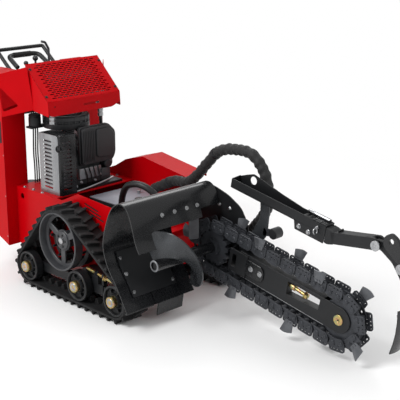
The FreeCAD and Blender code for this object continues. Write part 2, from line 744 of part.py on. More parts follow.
def inner_link():
    """Inner link: two plates and the two rollers between them."""
    outline = [(-38, -12), (-38, 12), (-30, 18), (30, 18), (38, 12), (38, -12), (30, -18), (-30, -18)]
    plates = [plate_y(outline, 17, 25), plate_y(outline, -25, -17)]
    rollers = [disc_y(x, 0, 13, -17.5, 17.5) for x in (-PITCH / 2, PITCH / 2)]
    return fused(plates + rollers)


def digging_chain():
    """Digging chain: outer plates on the even links, inner links between them."""
    plate = outer_plate()
    pair = [plate, mirrored(plate)]
    link = inner_link()
    solids = []
    for pin in range(0, LINK_COUNT, 2):
        solids += [on_link(side, pin) for side in pair]
        solids.append(on_link(link, pin + 1))
    return on_boom(group(solids))


def cutter():
    """Cup cutter bolted on the edge of an outer plate, drawn for the +Y side."""
    cup = plate_y([(-26, 40.5), (26, 40.5), (20, 52), (4, 58), (-6, 72), (-22, 87), (-28, 84), (-16, 66),
                   (-14, 50), (-26, 48)], 6, 52)
    return cup


def cutter_teeth():
    """Twelve cutters, one on every second outer link, leaning to alternate sides."""
    near = mirrored(cutter())
    far = cutter()
    solids = []
    for count, pin in enumerate(range(2, 50, 4)):
        solids.append(on_link(near if count % 2 else far, pin))
    return on_boom(group(solids))


def boom_arm():
    """Boom arm: hub about the head axis, side plate beyond the chain, and the socket for the bar."""
    y = BOOM_Y
    side = plate_y([(-54, -54), (-54, 54), (60, 66), (236, 60), (236, -60), (60, -60)], y + 40, y + 52, 20)
    hub = disc_y(0, 0, 54, y + 40, y + 86)
    grip = BAR_HALF_WIDTH + 0.3
    block = box(124, 236, y - 30, y + 40, -58, 58).cut(box(180, 250, y - grip, y + grip, -70, 70))
    window = box(140, 168, y - 40, y + 20, -32, 32)
    tongues = [plate_y([(230, -38), (230, 44), (330, 40), (346, 20), (346, -20), (330, -36)], a, b)
               for a, b in ((y - 30, y - grip), (y + grip, y + 30))]
    lever = plate_y([(-50, 10), (LIFT_EYE[0] - 22, LIFT_EYE[1] - 4), (LIFT_EYE[0] - 4, LIFT_EYE[1] + 22),
                     (LIFT_EYE[0] + 24, LIFT_EYE[1] + 4), (44, 26), (10, -10)], y + 74, y + 86)
    arm = fused([side, hub, block.cut(window), lever] + tongues)
    bore = disc_y(0, 0, SHAFT_RADIUS + 1, y - 50, y + 90)
    bolts = [disc_y(x, 5, 8, y - 40, y + 40) for x in (266, 324)]
    pin_hole = disc_y(LIFT_EYE[0], LIFT_EYE[1], 10, y + 70, y + 90)
    arm = arm.cut(bore).cut(pin_hole)
    for bolt in bolts:
        arm = arm.cut(bolt)
    return on_boom(arm)


def crumber_bracket():
    """Upright bracket from the boom arm to the crumber channel, with its round cross tube."""
    y = BOOM_Y
    upright = plate_y([(118, 60), (206, 60), (262, 160), (252, 300), (226, 352), (178, 352), (206, 240),
                       (176, 150)], y + 52, y + 60)
    cross = disc_y(205, 338, 13.5, y + CRUMBER_HALF + 0.5, y + 60)
    roller = disc_y(300, 188, 27, y + 44, y + 96)
    strap = plate_y([(240, 160), (300, 176), (300, 200), (240, 190)], y + 52, y + 60)
    return fused([upright, cross, roller, strap])


def boom_bar():
    """Digging bar with its long window, forked at the nose for the roller."""
    y0, y1 = BOOM_Y - BAR_HALF_WIDTH, BOOM_Y + BAR_HALF_WIDTH
    h = BAR_HALF_HEIGHT
    body = fused([box(182, BOOM_LENGTH, y0, y1, -h, h), disc_y(BOOM_LENGTH, 0, h, y0, y1)])
    body = body.cut(plate_y([(490, -20), (490, 46), (682, 44), (680, -8), (497, -20)], y0 - 1, y1 + 1))
    body = body.cut(box(BOOM_LENGTH - 100, BOOM_LENGTH + 80, BOOM_Y - 15.5, BOOM_Y + 15.5, -h - 1, h + 1))
    for x in (266, 324):
        body = body.cut(disc_y(x, 5, 8, y0 - 1, y1 + 1))
    body = body.cut(disc_y(BOOM_LENGTH, 0, 12, y0 - 1, y1 + 1))
    return on_boom(body)


def boom_fasteners():
    """The two bar bolts and the nose axle with its large washer."""
    pieces = []
    y = BOOM_Y
    for x in (266, 324):
        pieces.append(fused([disc_y(x, 5, 7.7, y - 30, y + 30), disc_y(x, 5, 13, y - 35, y - 30),
                             disc_y(x, 5, 13, y + 30, y + 35)]))
    axle = fused([disc_y(BOOM_LENGTH, 0, 11.9, y - 22, y + 22), disc_y(BOOM_LENGTH, 0, 25, y - 27, y - 22),
                  disc_y(BOOM_LENGTH, 0, 25, y + 22, y + 27)])
    pieces.append(axle)
    return pieces


def chain_tensioner():
    """Tension screw in the bar's window, with the bar bolts and the nose axle."""
    screw = fused([rod((491.5, BOOM_Y, 22), (600, BOOM_Y, 12), 8),
                   rod((500, BOOM_Y, 21), (524, BOOM_Y, 19), 14)])
    nut = hex_head((590, BOOM_Y, 13), (1, 0, -0.09), 26, 16)
    return on_boom(group([fused([screw, nut])] + boom_fasteners()))


def nose_roller():
    """Roller that turns the chain round the nose."""
    y = BOOM_Y
    tread = CHAIN_RADIUS - 13.6
    wheel = disc_y(BOOM_LENGTH, 0, tread, y - 15, y + 15)
    return on_boom(wheel.cut(disc_y(BOOM_LENGTH, 0, 12, y - 30, y + 30)))


# ---------------------------------------------------------------- crumber

def crumber_channel():
    """Channel over the boom with its perforated upright, end box and the bracket below."""
    y0, y1 = BOOM_Y - CRUMBER_HALF, BOOM_Y + CRUMBER_HALF
    web = box(62, 640, y0, y0 + 5, 352, 398)
    floor = box(62, 640, y0, y1, 352, 357)
    fin = plate_y([(62, 352), (110, 420), (140, 440), (172, 436), (330, 412), (408, 404), (460, 398),
                   (640, 398), (640, 352)], y1 - 5, y1)
    fin = fin.cut(disc_y(150, 408, 20, y1 - 10, y1 + 5))
    cheek = plate_y([(474, 312), (474, 352), (640, 352), (640, 312)], y0, y0 + 5)
    cheeks = [cheek, plate_y([(474, 312), (474, 352), (640, 352), (640, 312)], y1 - 5, y1)]
    cap = box(560, 640, y0, y1, 394, 400)
    slotted = fused([web, floor, fin, cap] + cheeks)
    for x in (120, 190, 260, 330):
        slotted = slotted.cut(box(x, x + 40, y0 + 12, y0 + 22, 340, 370))
    slotted = slotted.cut(disc_y(600, 376, 8.4, y0 - 5, y1 + 5))
    channel = slotted.fuse(crumber_bracket()).removeSplitter()
    bolts = [hex_head((x, y0, z), (0, -1, 0), 18, 8) for x, z in ((496, 335), (552, 330))]
    rod_top = rod((505, y1 - 16, 408), (625, y1 - 16, 408), 8)
    return on_boom(group([channel, rod_top] + bolts))


def along_crumber(shape):
    """Put a shape drawn along x from the pin into the crumber tube's own slope."""
    placed = shape.copy()
    placed.rotate(V(0, 0, 0), V(0, 1, 0), -CRUMBER_RISE)
    placed.translate(V(660, 0, 345))
    return placed


def crumber_tube():
    """Square tube that slides in the channel's box and carries the shoe at its far end."""
    y0, y1 = BOOM_Y - CRUMBER_HALF + 6, BOOM_Y + CRUMBER_HALF - 6
    inner = box(500, 662, y0, y1, 360, 392)
    elbow = plate_y([(640, 318), (640, 392), (662, 392), (690, 386), (690, 330), (662, 318)], y0 - 5, y1 + 5)
    elbow = elbow.cut(box(600, 641, y0 - 10, y1 + 10, 300, 400))
    arm = along_crumber(box(20, 262, y0 - 5, y1 + 5, -22, 32))
    tube_part = fused([inner, elbow, arm]).cut(disc_y(*SHOE_PIVOT, 10.4, 0, 120))
    pin_hole = fused([disc_y(600, 376, 8.4, 0, 120), box(531, 600, 0, 120, 367.6, 384.4)])
    slot = box(SHOE_PIVOT[0] - 44, SHOE_PIVOT[0] + 60, BOOM_Y - 10.4, BOOM_Y + 10.4, 360, 500)
    return on_boom(tube_part.cut(pin_hole).cut(slot))


def crumber_pin():
    """Lock pin through the channel and tube, with its pull ring."""
    y0 = BOOM_Y - CRUMBER_HALF
    shank = disc_y(600, 376, 8, y0 - 14, BOOM_Y + CRUMBER_HALF + 8)
    ring = Part.makeTorus(13, 3, V(600, y0 - 17, 360), V(1, 0, 0.3))
    return on_boom(fused([shank, ring]))


def crumber_shoe():
    """Curved arm and shoe that follow the nose, swinging on the crumber tube."""
    arm = plate_y([(880, 440), (925, 445), (1000, 400), (1062, 335), (1104, 240), (1112, 150), (1096, 150),
                   (1082, 236), (1040, 318), (985, 372), (918, 402), (884, 404)], BOOM_Y - 10, BOOM_Y + 10)
    top = plate_y([(932, 436), (930, 478), (960, 505), (1000, 490), (1030, 440), (1040, 385), (1000, 395)],
                  BOOM_Y - 26, BOOM_Y - 10)
    blade = curved_sheet([(1078, 230), (1096, 170), (1104, 100), (1102, 30), (1092, -40)], 6,
                         BOOM_Y - 62, BOOM_Y + 62)
    pivot = disc_y(*SHOE_PIVOT, 10, BOOM_Y - 36, BOOM_Y + 36)
    washers = [disc_y(*SHOE_PIVOT, 23, a, b)
               for a, b in ((BOOM_Y - 36, BOOM_Y - 29.5), (BOOM_Y + 29.5, BOOM_Y + 36))]
    bolt = disc_y(1042, 373, 23, BOOM_Y - 32, BOOM_Y - 10)
    return on_boom(fused([arm, top, blade, pivot, bolt] + washers))


# ---------------------------------------------------------------- lift cylinder and hose sleeve

def lift_axis():
    """Unit direction and length from the lift cylinder's base pin to the boom lever's eye."""
    ex, ez = boom_point(*LIFT_EYE)
    bx, bz = LIFT_BASE
    reach = math.hypot(ex - bx, ez - bz)
    return (ex - bx) / reach, (ez - bz) / reach, reach


def along_lift(distance):
    """Point on the lift cylinder's centre line, a distance from its base pin."""
    ux, uz, _ = lift_axis()
    return LIFT_BASE[0] + distance * ux, LIFT_Y, LIFT_BASE[1] + distance * uz


def lift_cylinder():
    """Lift cylinder barrel with its base eye."""
    bx, bz = LIFT_BASE
    barrel = rod(along_lift(34), along_lift(232), 26).cut(rod(along_lift(46), along_lift(233), 13.05))
    neck = rod(along_lift(16), along_lift(40), 11)
    eye = disc_y(bx, bz, 25, LIFT_Y - 14, LIFT_Y + 14)
    return fused([barrel, neck, eye]).cut(disc_y(bx, bz, 10.05, 100, 220))


def lift_rod():
    """Chromed rod and its flat eye beside the boom lever."""
    _, _, reach = lift_axis()
    ex, ez = boom_point(*LIFT_EYE)
    shank = rod(along_lift(109), along_lift(reach - 18), 13)
    eye = disc_y(ex, ez, 22, 147.5, LIFT_Y + 14)
    return fused([shank, eye]).cut(disc_y(ex, ez, 10, 100, 200))


def lift_mount():
    """Pin bracket of the lift cylinder on the chassis front."""
    bx, bz = LIFT_BASE
    ears = [plate_y([(130, 368), (130, 396), (140, 406), (160, 406), (168, 396), (168, 370), (250, 366),
                     (250, 362), (206, 362), (206, 366)], a, b)
            for a, b in ((LIFT_Y - 24, LIFT_Y - 16), (LIFT_Y + 16, LIFT_Y + 24))]
    pin = disc_y(bx, bz, 10, LIFT_Y - 24, LIFT_Y + 24)
    return fused(ears + [pin])


def hose_sleeve():
    """Sleeved hose bundle looping from the chassis over the shield to the trencher motor."""
    route = [(-90, 225, 492), (10, 232, 548), (150, 225, 548), (300, 210, 690), (380, 205, 775),
             (500, 202, 802), (620, 200, 802), (700, 200, 720), (725, 200, 620), (700, 215, 520),
             (610, 255, 430), (549, 283, 382)]
    return bent_tube(route, 30, 92)


# ---------------------------------------------------------------- controls

def traction_handle():
    """Padded loop handle that swings about a cross pivot behind the panel."""
    loop = bent_tube([(-880, -105, 1082), (-960, -105, 1128), (-985, -60, 1134), (-985, 60, 1134),
                      (-960, 105, 1128), (-880, 105, 1082)], 14, 24)
    return fused([loop] + [disc_y(-880, 1082, 17, y - 10, y + 10) for y in (-105, 105)])


def lever(y, tip_x, height, radius):
    """Straight lever with a ball knob, on its pivot barrel above the control panel."""
    stem = rod((-800, y, LEVER_Z), (tip_x, y, height), radius)
    knob = Part.makeSphere(radius * 2.6, V(tip_x, y, height + radius))
    return fused([stem, knob, disc_y(-800, LEVER_Z, 8, y - 9, y + 9)])


def boom_lever():
    """Long bent lever that raises and lowers the boom."""
    stem = bent_tube([(-800, 52, LEVER_Z), (-800, 52, 1180), (-800, 30, 1218), (-800, 6, 1224)], 7, 16)
    return fused([stem, disc_y(-800, LEVER_Z, 9, 42, 62)])


def key_switch():
    """Ignition key standing in the panel."""
    return fused([rod((-760, -150, 1055.5), (-760, -150, 1068), 8), box(-762, -758, -160, -140, 1066, 1090)])


PARTS = {
    "chassis_frame": lambda: group([chassis_frame(), head_beam(), lift_mount()]),
    "side_panel_right": side_panel_right,
    "side_cover_left": side_cover_left,
    "tower_column_right": lambda: tower_column(RIGHT),
    "tower_column_left": lambda: tower_column(LEFT),
    "control_panel": control_panel,
    "cooler_gussets": cooler_gussets,
    "cooler_cover": cooler_cover,
    "oil_cooler": oil_cooler,
    "reference_bar": reference_bar,
    "fuel_tank": fuel_tank,
    "engine_block": engine_block,
    "blower_housing": blower_housing,
    "air_cleaner": air_cleaner,
    "muffler": muffler,
    "muffler_guard": muffler_guard,
    "hydraulic_pump": hydraulic_pump,
    "hydraulic_tank": hydraulic_tank,
    "hoses_and_cables": hoses_and_cables,
    "track_frame_right": lambda: track_frame(RIGHT),
    "track_frame_left": lambda: track_frame(LEFT),
    "track_belt_right": lambda: track_belt(RIGHT),
    "track_belt_left": lambda: track_belt(LEFT),
    "track_tensioners": track_tensioners,
    "drive_motors": drive_motors,
    "drive_sprocket_right": lambda: drive_sprocket(RIGHT),
    "drive_sprocket_left": lambda: drive_sprocket(LEFT),
    "auger_shield": auger_shield,
    "shield_flap": shield_flap,
    "shield_skid": shield_skid,
    "chain_guard": chain_guard,
    "trencher_motor": trencher_motor,
    "machine_bolts": machine_bolts,
    "head_shaft": head_shaft,
    "head_sprocket": head_sprocket,
    "auger": auger,
    "boom_arm": boom_arm,
    "boom_bar": boom_bar,
    "chain_tensioner": chain_tensioner,
    "nose_roller": nose_roller,
    "digging_chain": digging_chain,
    "cutter_teeth": cutter_teeth,
    "crumber_channel": crumber_channel,
    "crumber_tube": crumber_tube,
    "crumber_pin": crumber_pin,
    "crumber_shoe": crumber_shoe,
    "lift_cylinder": lift_cylinder,
    "lift_rod": lift_rod,
    "hose_sleeve": hose_sleeve,
    "traction_handle": traction_handle,
    "boom_lever": boom_lever,
    "trencher_lever": lambda: lever(-40, -800, 1130, 6),
    "throttle_lever": lambda: lever(-95, -812, 1108, 5),
    "key_switch": key_switch,
}
for corner in WHEEL_X:
    PARTS["wheel_" + corner + "_right"] = lambda corner=corner: road_wheel(corner, RIGHT)
    PARTS["wheel_" + corner + "_left"] = lambda corner=corner: road_wheel(corner, LEFT)


def build_all():
    """Every sub-part in the design frame."""
    return {name: make() for name, make in PARTS.items()}


def origin_of(shapes):
    """Middle of the bottom of the whole machine."""
    whole = FreeCAD.BoundBox()
    for shape in shapes.values():
        whole.add(shape.optimalBoundingBox())
    return V((whole.XMin + whole.XMax) / 2, (whole.YMin + whole.YMax) / 2, whole.ZMin)


def main():
    """Write one STEP file for each sub-part, moved to the machine's origin."""
    os.makedirs("parts", exist_ok=True)
    shapes = build_all()
    origin = origin_of(shapes)
    for name, shape in shapes.items():
        moved = shape.copy()
        moved.translate(origin * -1)
        moved.exportStep("parts/" + name + ".step")
        solids = moved.Solids
        state = "ok" if moved.isValid() and all(s.Volume > 0 for s in solids) else "BAD"
        print(name, len(solids), state, round(sum(s.Volume for s in solids) / 1000.0, 1))
    print("design origin", [round(v, 4) for v in origin])


main()
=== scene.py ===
"""Looks of a walk-behind track trencher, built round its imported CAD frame.

Lengths in the classes are millimetres in the machine's own layout: X along the machine from the middle
road wheels towards the boom nose, Y to the machine's left from its centre plane, Z up from the floor.
Boom pieces use the boom's own layout, with its origin on the head shaft and X along the bar.
"""
import json
import logging
import math
from dataclasses import dataclass, field
from enum import Enum
from typing import Any, ClassVar, Sequence

import bmesh
import bpy
from mathutils import Matrix, Vector, noise

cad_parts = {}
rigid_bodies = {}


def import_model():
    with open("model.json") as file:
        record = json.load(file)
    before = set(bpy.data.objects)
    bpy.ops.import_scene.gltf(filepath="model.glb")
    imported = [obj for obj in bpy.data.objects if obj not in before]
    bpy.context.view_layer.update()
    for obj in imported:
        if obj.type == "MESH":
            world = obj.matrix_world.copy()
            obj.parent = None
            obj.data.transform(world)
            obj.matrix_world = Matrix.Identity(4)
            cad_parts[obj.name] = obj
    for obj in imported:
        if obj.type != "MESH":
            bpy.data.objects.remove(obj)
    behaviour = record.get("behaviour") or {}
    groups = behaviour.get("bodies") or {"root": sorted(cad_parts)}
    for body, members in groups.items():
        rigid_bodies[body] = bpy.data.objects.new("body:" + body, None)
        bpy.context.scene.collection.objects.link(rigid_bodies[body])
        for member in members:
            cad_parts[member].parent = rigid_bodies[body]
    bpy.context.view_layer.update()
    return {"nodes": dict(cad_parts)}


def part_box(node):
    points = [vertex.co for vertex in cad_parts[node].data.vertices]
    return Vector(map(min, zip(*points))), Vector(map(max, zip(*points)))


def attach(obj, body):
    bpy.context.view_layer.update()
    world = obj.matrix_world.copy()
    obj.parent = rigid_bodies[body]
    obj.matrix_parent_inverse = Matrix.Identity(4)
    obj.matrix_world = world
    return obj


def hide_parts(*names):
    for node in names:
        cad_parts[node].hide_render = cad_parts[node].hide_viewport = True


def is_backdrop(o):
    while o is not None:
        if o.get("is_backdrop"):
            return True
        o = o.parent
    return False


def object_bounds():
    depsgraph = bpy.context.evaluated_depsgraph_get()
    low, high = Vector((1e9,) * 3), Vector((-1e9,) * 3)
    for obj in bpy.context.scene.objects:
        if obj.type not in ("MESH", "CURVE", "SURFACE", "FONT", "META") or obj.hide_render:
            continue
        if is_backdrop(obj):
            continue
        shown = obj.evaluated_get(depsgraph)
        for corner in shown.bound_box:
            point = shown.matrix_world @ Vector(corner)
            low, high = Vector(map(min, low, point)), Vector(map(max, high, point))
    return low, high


LOG = logging.getLogger("trencher")
Point2 = tuple[float, float]
Point3 = tuple[float, float, float]


# ------------------------------------------------------------------ nodes and colours

def srgb(code: str) -> tuple[float, float, float, float]:
    """Turn an sRGB hex colour into linear values.

    Args:
        code: Colour such as "#a01018".

    Returns:
        Linear red, green, blue and an alpha of one.
    """
    parts = [int(code[i:i + 2], 16) / 255 for i in (1, 3, 5)]
    linear = [c / 12.92 if c <= 0.04045 else ((c + 0.055) / 1.055) ** 2.4 for c in parts]
    return linear[0], linear[1], linear[2], 1.0


def add_node(tree: bpy.types.NodeTree, kind: str, inputs: dict[Any, Any] | None = None,
        **settings: Any) -> bpy.types.Node:
    """Add one node with its settings, values and links.

    Args:
        tree: Tree that gets the node.
        kind: Blender's name of the node type.
        inputs: Socket name or index to a value, or to the output socket that feeds it.
        settings: Properties of the node.

    Returns:
        The new node.
    """
    node = tree.nodes.new(kind)
    for key, value in settings.items():
        setattr(node, key, value)
    for key, value in (inputs or {}).items():
        if isinstance(value, bpy.types.NodeSocket):
            tree.links.new(value, node.inputs[key])
        else:
            node.inputs[key].default_value = value
    return node


# ------------------------------------------------------------------ finishes

@dataclass(frozen=True)
class Finish:
    """A surface with two tones, a soft patchiness, a fine grain and a matching roughness.

    Sizes are millimetres on the real surface. Grain below about 2 mm does not show at the working
    distance, so it is drawn as coarse as it needs to show.
    """
    name: str
    light: str
    dark: str
    metallic: float = 0.0
    rough: tuple[float, float] = (0.35, 0.5)
    patch: float = 60.0
    grain: float = 3.0
    depth: float = 0.12
    stretch: Point3 = (1.0, 1.0, 1.0)
    coat: float = 0.0
    coat_rough: float = 0.1
    specular: float = 0.5
    fleck: str = ""
    fleck_size: float = 8.0
    fleck_share: float = 0.06

    def material(self) -> bpy.types.Material:
        """Return the finish's material, made on first use."""
        return bpy.data.materials.get(self.name) or self.build()

    def build(self) -> bpy.types.Material:
        """Make the node material.

        Returns:
            The new material.
        """
        made = bpy.data.materials.new(self.name)
        made.use_nodes = True
        tree = made.node_tree
        shader = tree.nodes["Principled BSDF"]
        place = add_node(tree, "ShaderNodeTexCoord").outputs["Object"]
        stretched = add_node(tree, "ShaderNodeMapping", {"Vector": place, "Scale": self.stretch})
        where = stretched.outputs["Vector"]
        patch = add_node(tree, "ShaderNodeTexNoise", {"Vector": where, "Scale": 1000 / self.patch,
            "Detail": 4.0, "Roughness": 0.6})
        grain = add_node(tree, "ShaderNodeTexNoise", {"Vector": where, "Scale": 1000 / self.grain,
            "Detail": 2.0, "Roughness": 0.5})
        spread = add_node(tree, "ShaderNodeMapRange", {"Value": patch.outputs["Fac"], "From Min": 0.32,
            "From Max": 0.68})
        tone = add_node(tree, "ShaderNodeMix", {"Factor": spread.outputs["Result"], "A": srgb(self.dark),
            "B": srgb(self.light)}, data_type="RGBA")
        colour = self.with_flecks(tree, where, mix_output(tone))
        shine = add_node(tree, "ShaderNodeMapRange", {"Value": grain.outputs["Fac"], "From Min": 0.3,
            "From Max": 0.7, "To Min": self.rough[0], "To Max": self.rough[1]})
        bump = add_node(tree, "ShaderNodeBump", {"Height": grain.outputs["Fac"], "Strength": 0.6,
            "Distance": self.depth / 1000})
        tree.links.new(colour, shader.inputs["Base Color"])
        tree.links.new(shine.outputs["Result"], shader.inputs["Roughness"])
        tree.links.new(bump.outputs["Normal"], shader.inputs["Normal"])
        shader.inputs["Metallic"].default_value = self.metallic
        shader.inputs["Coat Weight"].default_value = self.coat
        shader.inputs["Coat Roughness"].default_value = self.coat_rough
        shader.inputs["Specular IOR Level"].default_value = self.specular
        return made

    def with_flecks(self, tree: bpy.types.NodeTree, where: bpy.types.NodeSocket,
            colour: bpy.types.NodeSocket) -> bpy.types.NodeSocket:
        """Scatter small wear or dust flecks over the base colour.

        Args:
            tree: Material tree.
            where: Texture coordinate.
            colour: Base colour so far.

        Returns:
            The colour with flecks, or the same colour if the finish has none.
        """
        if not self.fleck:
            return colour
        spots = add_node(tree, "ShaderNodeTexNoise", {"Vector": where, "Scale": 1000 / self.fleck_size,
            "Detail": 5.0, "Roughness": 0.7})
        edge = 0.72 - self.fleck_share
        mask = add_node(tree, "ShaderNodeMapRange", {"Value": spots.outputs["Fac"], "From Min": edge,
            "From Max": edge + 0.08})
        mixed = add_node(tree, "ShaderNodeMix", {"Factor": mask.outputs["Result"], "A": colour,
            "B": srgb(self.fleck)}, data_type="RGBA")
        return mix_output(mixed)


def mix_output(node: bpy.types.Node) -> bpy.types.NodeSocket:
    """Return a colour Mix node's colour output."""
    return next(o for o in node.outputs if o.type == "RGBA" and o.enabled)


@dataclass(frozen=True)
class IridescentZinc(Finish):
    """Yellow-passivated zinc plate: electroplated steel whose film shifts from straw to pink and green."""
    straw: str = "#c9b06a"
    rose: str = "#b98f78"
    green: str = "#9aa27c"

    def build(self) -> bpy.types.Material:
        """Make the plate with its drifting film colours and return it."""
        made = super().build()
        tree = made.node_tree
        shader = tree.nodes["Principled BSDF"]
        place = add_node(tree, "ShaderNodeTexCoord").outputs["Object"]
        drift = add_node(tree, "ShaderNodeTexNoise", {"Vector": place, "Scale": 1000 / 14.0, "Detail": 2.0})
        ramp = add_node(tree, "ShaderNodeValToRGB", {"Fac": drift.outputs["Fac"]})
        stops = ramp.color_ramp.elements
        stops[0].position, stops[0].color = 0.36, srgb(self.rose)
        stops[1].position, stops[1].color = 0.64, srgb(self.green)
        middle = stops.new(0.5)
        middle.color = srgb(self.straw)
        tree.links.new(ramp.outputs["Color"], shader.inputs["Base Color"])
        return made


@dataclass(frozen=True)
class WovenSleeve(Finish):
    """Braided nylon burst sleeve: a 4 mm basket weave, drawn over the piece's own UV map."""
    thread: float = 4.0

    def build(self) -> bpy.types.Material:
        """Make the sleeve with its weave and return it."""
        made = super().build()
        tree = made.node_tree
        shader = tree.nodes["Principled BSDF"]
        chart = add_node(tree, "ShaderNodeUVMap", uv_map="along").outputs["UV"]
        turned = add_node(tree, "ShaderNodeMapping", {"Vector": chart, "Rotation": (0.0, 0.0, 0.785)})
        weave = add_node(tree, "ShaderNodeTexChecker", {"Vector": turned.outputs["Vector"],
            "Scale": 1000 / self.thread, "Color1": srgb("#1a1a1b"), "Color2": srgb("#050505")})
        bump = add_node(tree, "ShaderNodeBump", {"Height": weave.outputs["Fac"], "Strength": 0.5,
            "Distance": 0.0006})
        tree.links.new(weave.outputs["Color"], shader.inputs["Base Color"])
        tree.links.new(bump.outputs["Normal"], shader.inputs["Normal"])
        shader.inputs["Sheen Weight"].default_value = 0.1
        return made


class Coat(Enum):
    """Every finish on the machine."""
    # Polyester powder coat on sheet steel, sprayed and baked: a glossy red with faint orange peel.
    RED = Finish("powder_coat_red", "#bc000a", "#b00008", rough=(0.32, 0.4), patch=320, grain=5.0, depth=0.03,
        coat=0.02, specular=0.07)
    # The same coat in gloss black on the shield and boom: dark with soft reflections and fine scuffs.
    GLOSS = Finish("powder_coat_black_gloss", "#141517", "#101113", rough=(0.22, 0.3), patch=260, grain=6.0,
        depth=0.02, coat=0.25, specular=0.35)
    # Satin black coat on frames and brackets.
    SATIN = Finish("powder_coat_black_satin", "#1a1b1d", "#131416", rough=(0.4, 0.5), patch=160, grain=4.0,
        depth=0.05, specular=0.35)
    # Quenched and tempered alloy steel, oiled: near black with a metal sheen and small bright scrapes.
    CHAIN_STEEL = Finish("tempered_alloy_steel", "#404247", "#2f3135", metallic=0.35, rough=(0.4, 0.55),
        patch=60, grain=3.0, depth=0.08, specular=0.4, fleck="#5a5c60", fleck_size=9, fleck_share=0.05)
    # Forged cutter steel with ground faces: slightly lighter, streaked.
    CUTTER_STEEL = Finish("forged_cutter_steel", "#66686c", "#515357", metallic=0.45, rough=(0.28, 0.4),
        patch=50, grain=4.0, depth=0.04, specular=0.5, fleck="#7e8084", fleck_size=9, fleck_share=0.04)
    # Moulded SBR track rubber: charcoal, matt, with pale dust flecks.
    RUBBER = Finish("moulded_track_rubber", "#222223", "#171718", rough=(0.6, 0.78), patch=80, grain=3.0,
        depth=0.2, specular=0.3, fleck="#353432", fleck_size=12, fleck_share=0.06)
    # Calendered sheet rubber of the flap: smooth grey-black.
    FLAP_RUBBER = Finish("sheet_rubber", "#5d5d60", "#4b4b4e", rough=(0.42, 0.6), patch=80, grain=4.0,
        depth=0.1)
    # Nitrile hose cover, extruded and wrapped: black with faint cross ridges.
    HOSE = Finish("extruded_hose_rubber", "#161617", "#0c0c0d", rough=(0.4, 0.55), patch=30, grain=3.0,
        depth=0.12)
    # Injection-moulded polypropylene with a fine spark-eroded grain.
    PLASTIC = Finish("moulded_polypropylene", "#222326", "#17181a", rough=(0.4, 0.55), patch=120, grain=2.2,
        depth=0.1)
    # Die-cast aluminium, blasted: pale grey and slightly sparkling.
    ALUMINIUM = Finish("die_cast_aluminium", "#9b9da0", "#77797c", metallic=0.9, rough=(0.38, 0.55), patch=50,
        grain=2.5, depth=0.2)
    # Cast crankcase painted dark grey.
    CASTING = Finish("painted_casting", "#3a3b3d", "#29292b", rough=(0.4, 0.55), patch=60, grain=3.0,
        depth=0.25)
    # Aluminised sheet of the heat guard, rolled: silver with faint rolling streaks.
    HEAT_SHEET = Finish("aluminised_sheet", "#a9abac", "#85878a", metallic=0.85, rough=(0.3, 0.42), patch=80,
        grain=4.0, depth=0.06, stretch=(1.0, 1.0, 0.15))
    # Sheet with a pale grey-violet coat on the tank top.
    GREY = Finish("powder_coat_grey", "#8f9098", "#7c7d86", rough=(0.34, 0.46), patch=150, grain=4.0,
        depth=0.06)
    # Satin charcoal coat on the track sprockets and the boom lever.
    GREY_STEEL = Finish("powder_coat_charcoal", "#3c3d40", "#2c2d30", rough=(0.34, 0.48), patch=90, grain=3.5,
        depth=0.08)
    # Plate painted black, its coat scoured by soil to a dark satin grey.
    FLIGHT_STEEL = Finish("scoured_flight_plate", "#404346", "#2b2d30", metallic=0.35, rough=(0.2, 0.3),
        patch=110, grain=4.0, depth=0.03, specular=0.6)
    # Hard chrome on ground steel rod.
    CHROME = Finish("hard_chrome", "#d5d6d8", "#c4c5c8", metallic=1.0, rough=(0.08, 0.16), patch=60,
        grain=3.0, depth=0.02)
    # Brushed fin stock of the oil cooler.
    FIN_STOCK = Finish("cooler_fin_stock", "#8b8c8e", "#6b6c6f", metallic=0.8, rough=(0.4, 0.55), patch=20,
        grain=2.0, depth=0.1)
    # Closed-cell foam grip: soft matt black with open pores.
    FOAM = Finish("closed_cell_foam", "#1b1b1c", "#111112", rough=(0.75, 0.9), patch=40, grain=2.5, depth=0.3)
    # Zinc with a yellow passivation film, on the tension screw and rods.
    ZINC = IridescentZinc("yellow_zinc_plate", "#c9b06a", "#b98f78", metallic=1.0, rough=(0.25, 0.4),
        patch=30, grain=3.0, depth=0.05)
    # Clear zinc, silver, on bolts, caps and fittings.
    SILVER_ZINC = Finish("clear_zinc_plate", "#b9babb", "#97989b", metallic=1.0, rough=(0.26, 0.4), patch=30,
        grain=3.0, depth=0.05)
    # Braided nylon burst sleeve over the hose bundle.
    SLEEVE = WovenSleeve("braided_nylon_sleeve", "#1c1c1e", "#0c0c0d", rough=(0.6, 0.8), patch=30, grain=3.0,
        depth=0.2)

    def material(self) -> bpy.types.Material:
        """Return the member's material."""
        return self.value.material()


# ------------------------------------------------------------------ layouts

class Layouts:
    """Matrices from the machine's and the boom's own millimetre layouts into the row frame."""

    def __init__(self) -> None:
        """Read the layouts' places from the CAD boxes."""
        low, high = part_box("drive_sprocket_right")
        head = self.middle("head_shaft")
        nose = self.middle("nose_roller")
        origin = Vector(((low.x + high.x) / 2 + 0.142, low.y + 0.428, (low.z + high.z) / 2 - 0.314))
        slope = math.atan2(head.z - nose.z, nose.x - head.x)
        self.machine = Matrix.Translation(origin) @ Matrix.Scale(0.001, 4)
        self.boom = (Matrix.Translation((head.x, origin.y, head.z)) @ Matrix.Rotation(slope, 4,
            "Y") @ Matrix.Scale(0.001, 4))

    def of(self, body: str) -> Matrix:
        """Return the layout that a body's pieces are drawn in."""
        return self.boom if body in ("boom", "nose_wheel", "crumber_arm", "lock_pin",
            "shoe") else self.machine

    @staticmethod
    def middle(node: str) -> Vector:
        """Return the middle of a CAD node's box."""
        low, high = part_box(node)
        return (low + high) / 2


# ------------------------------------------------------------------ workshop

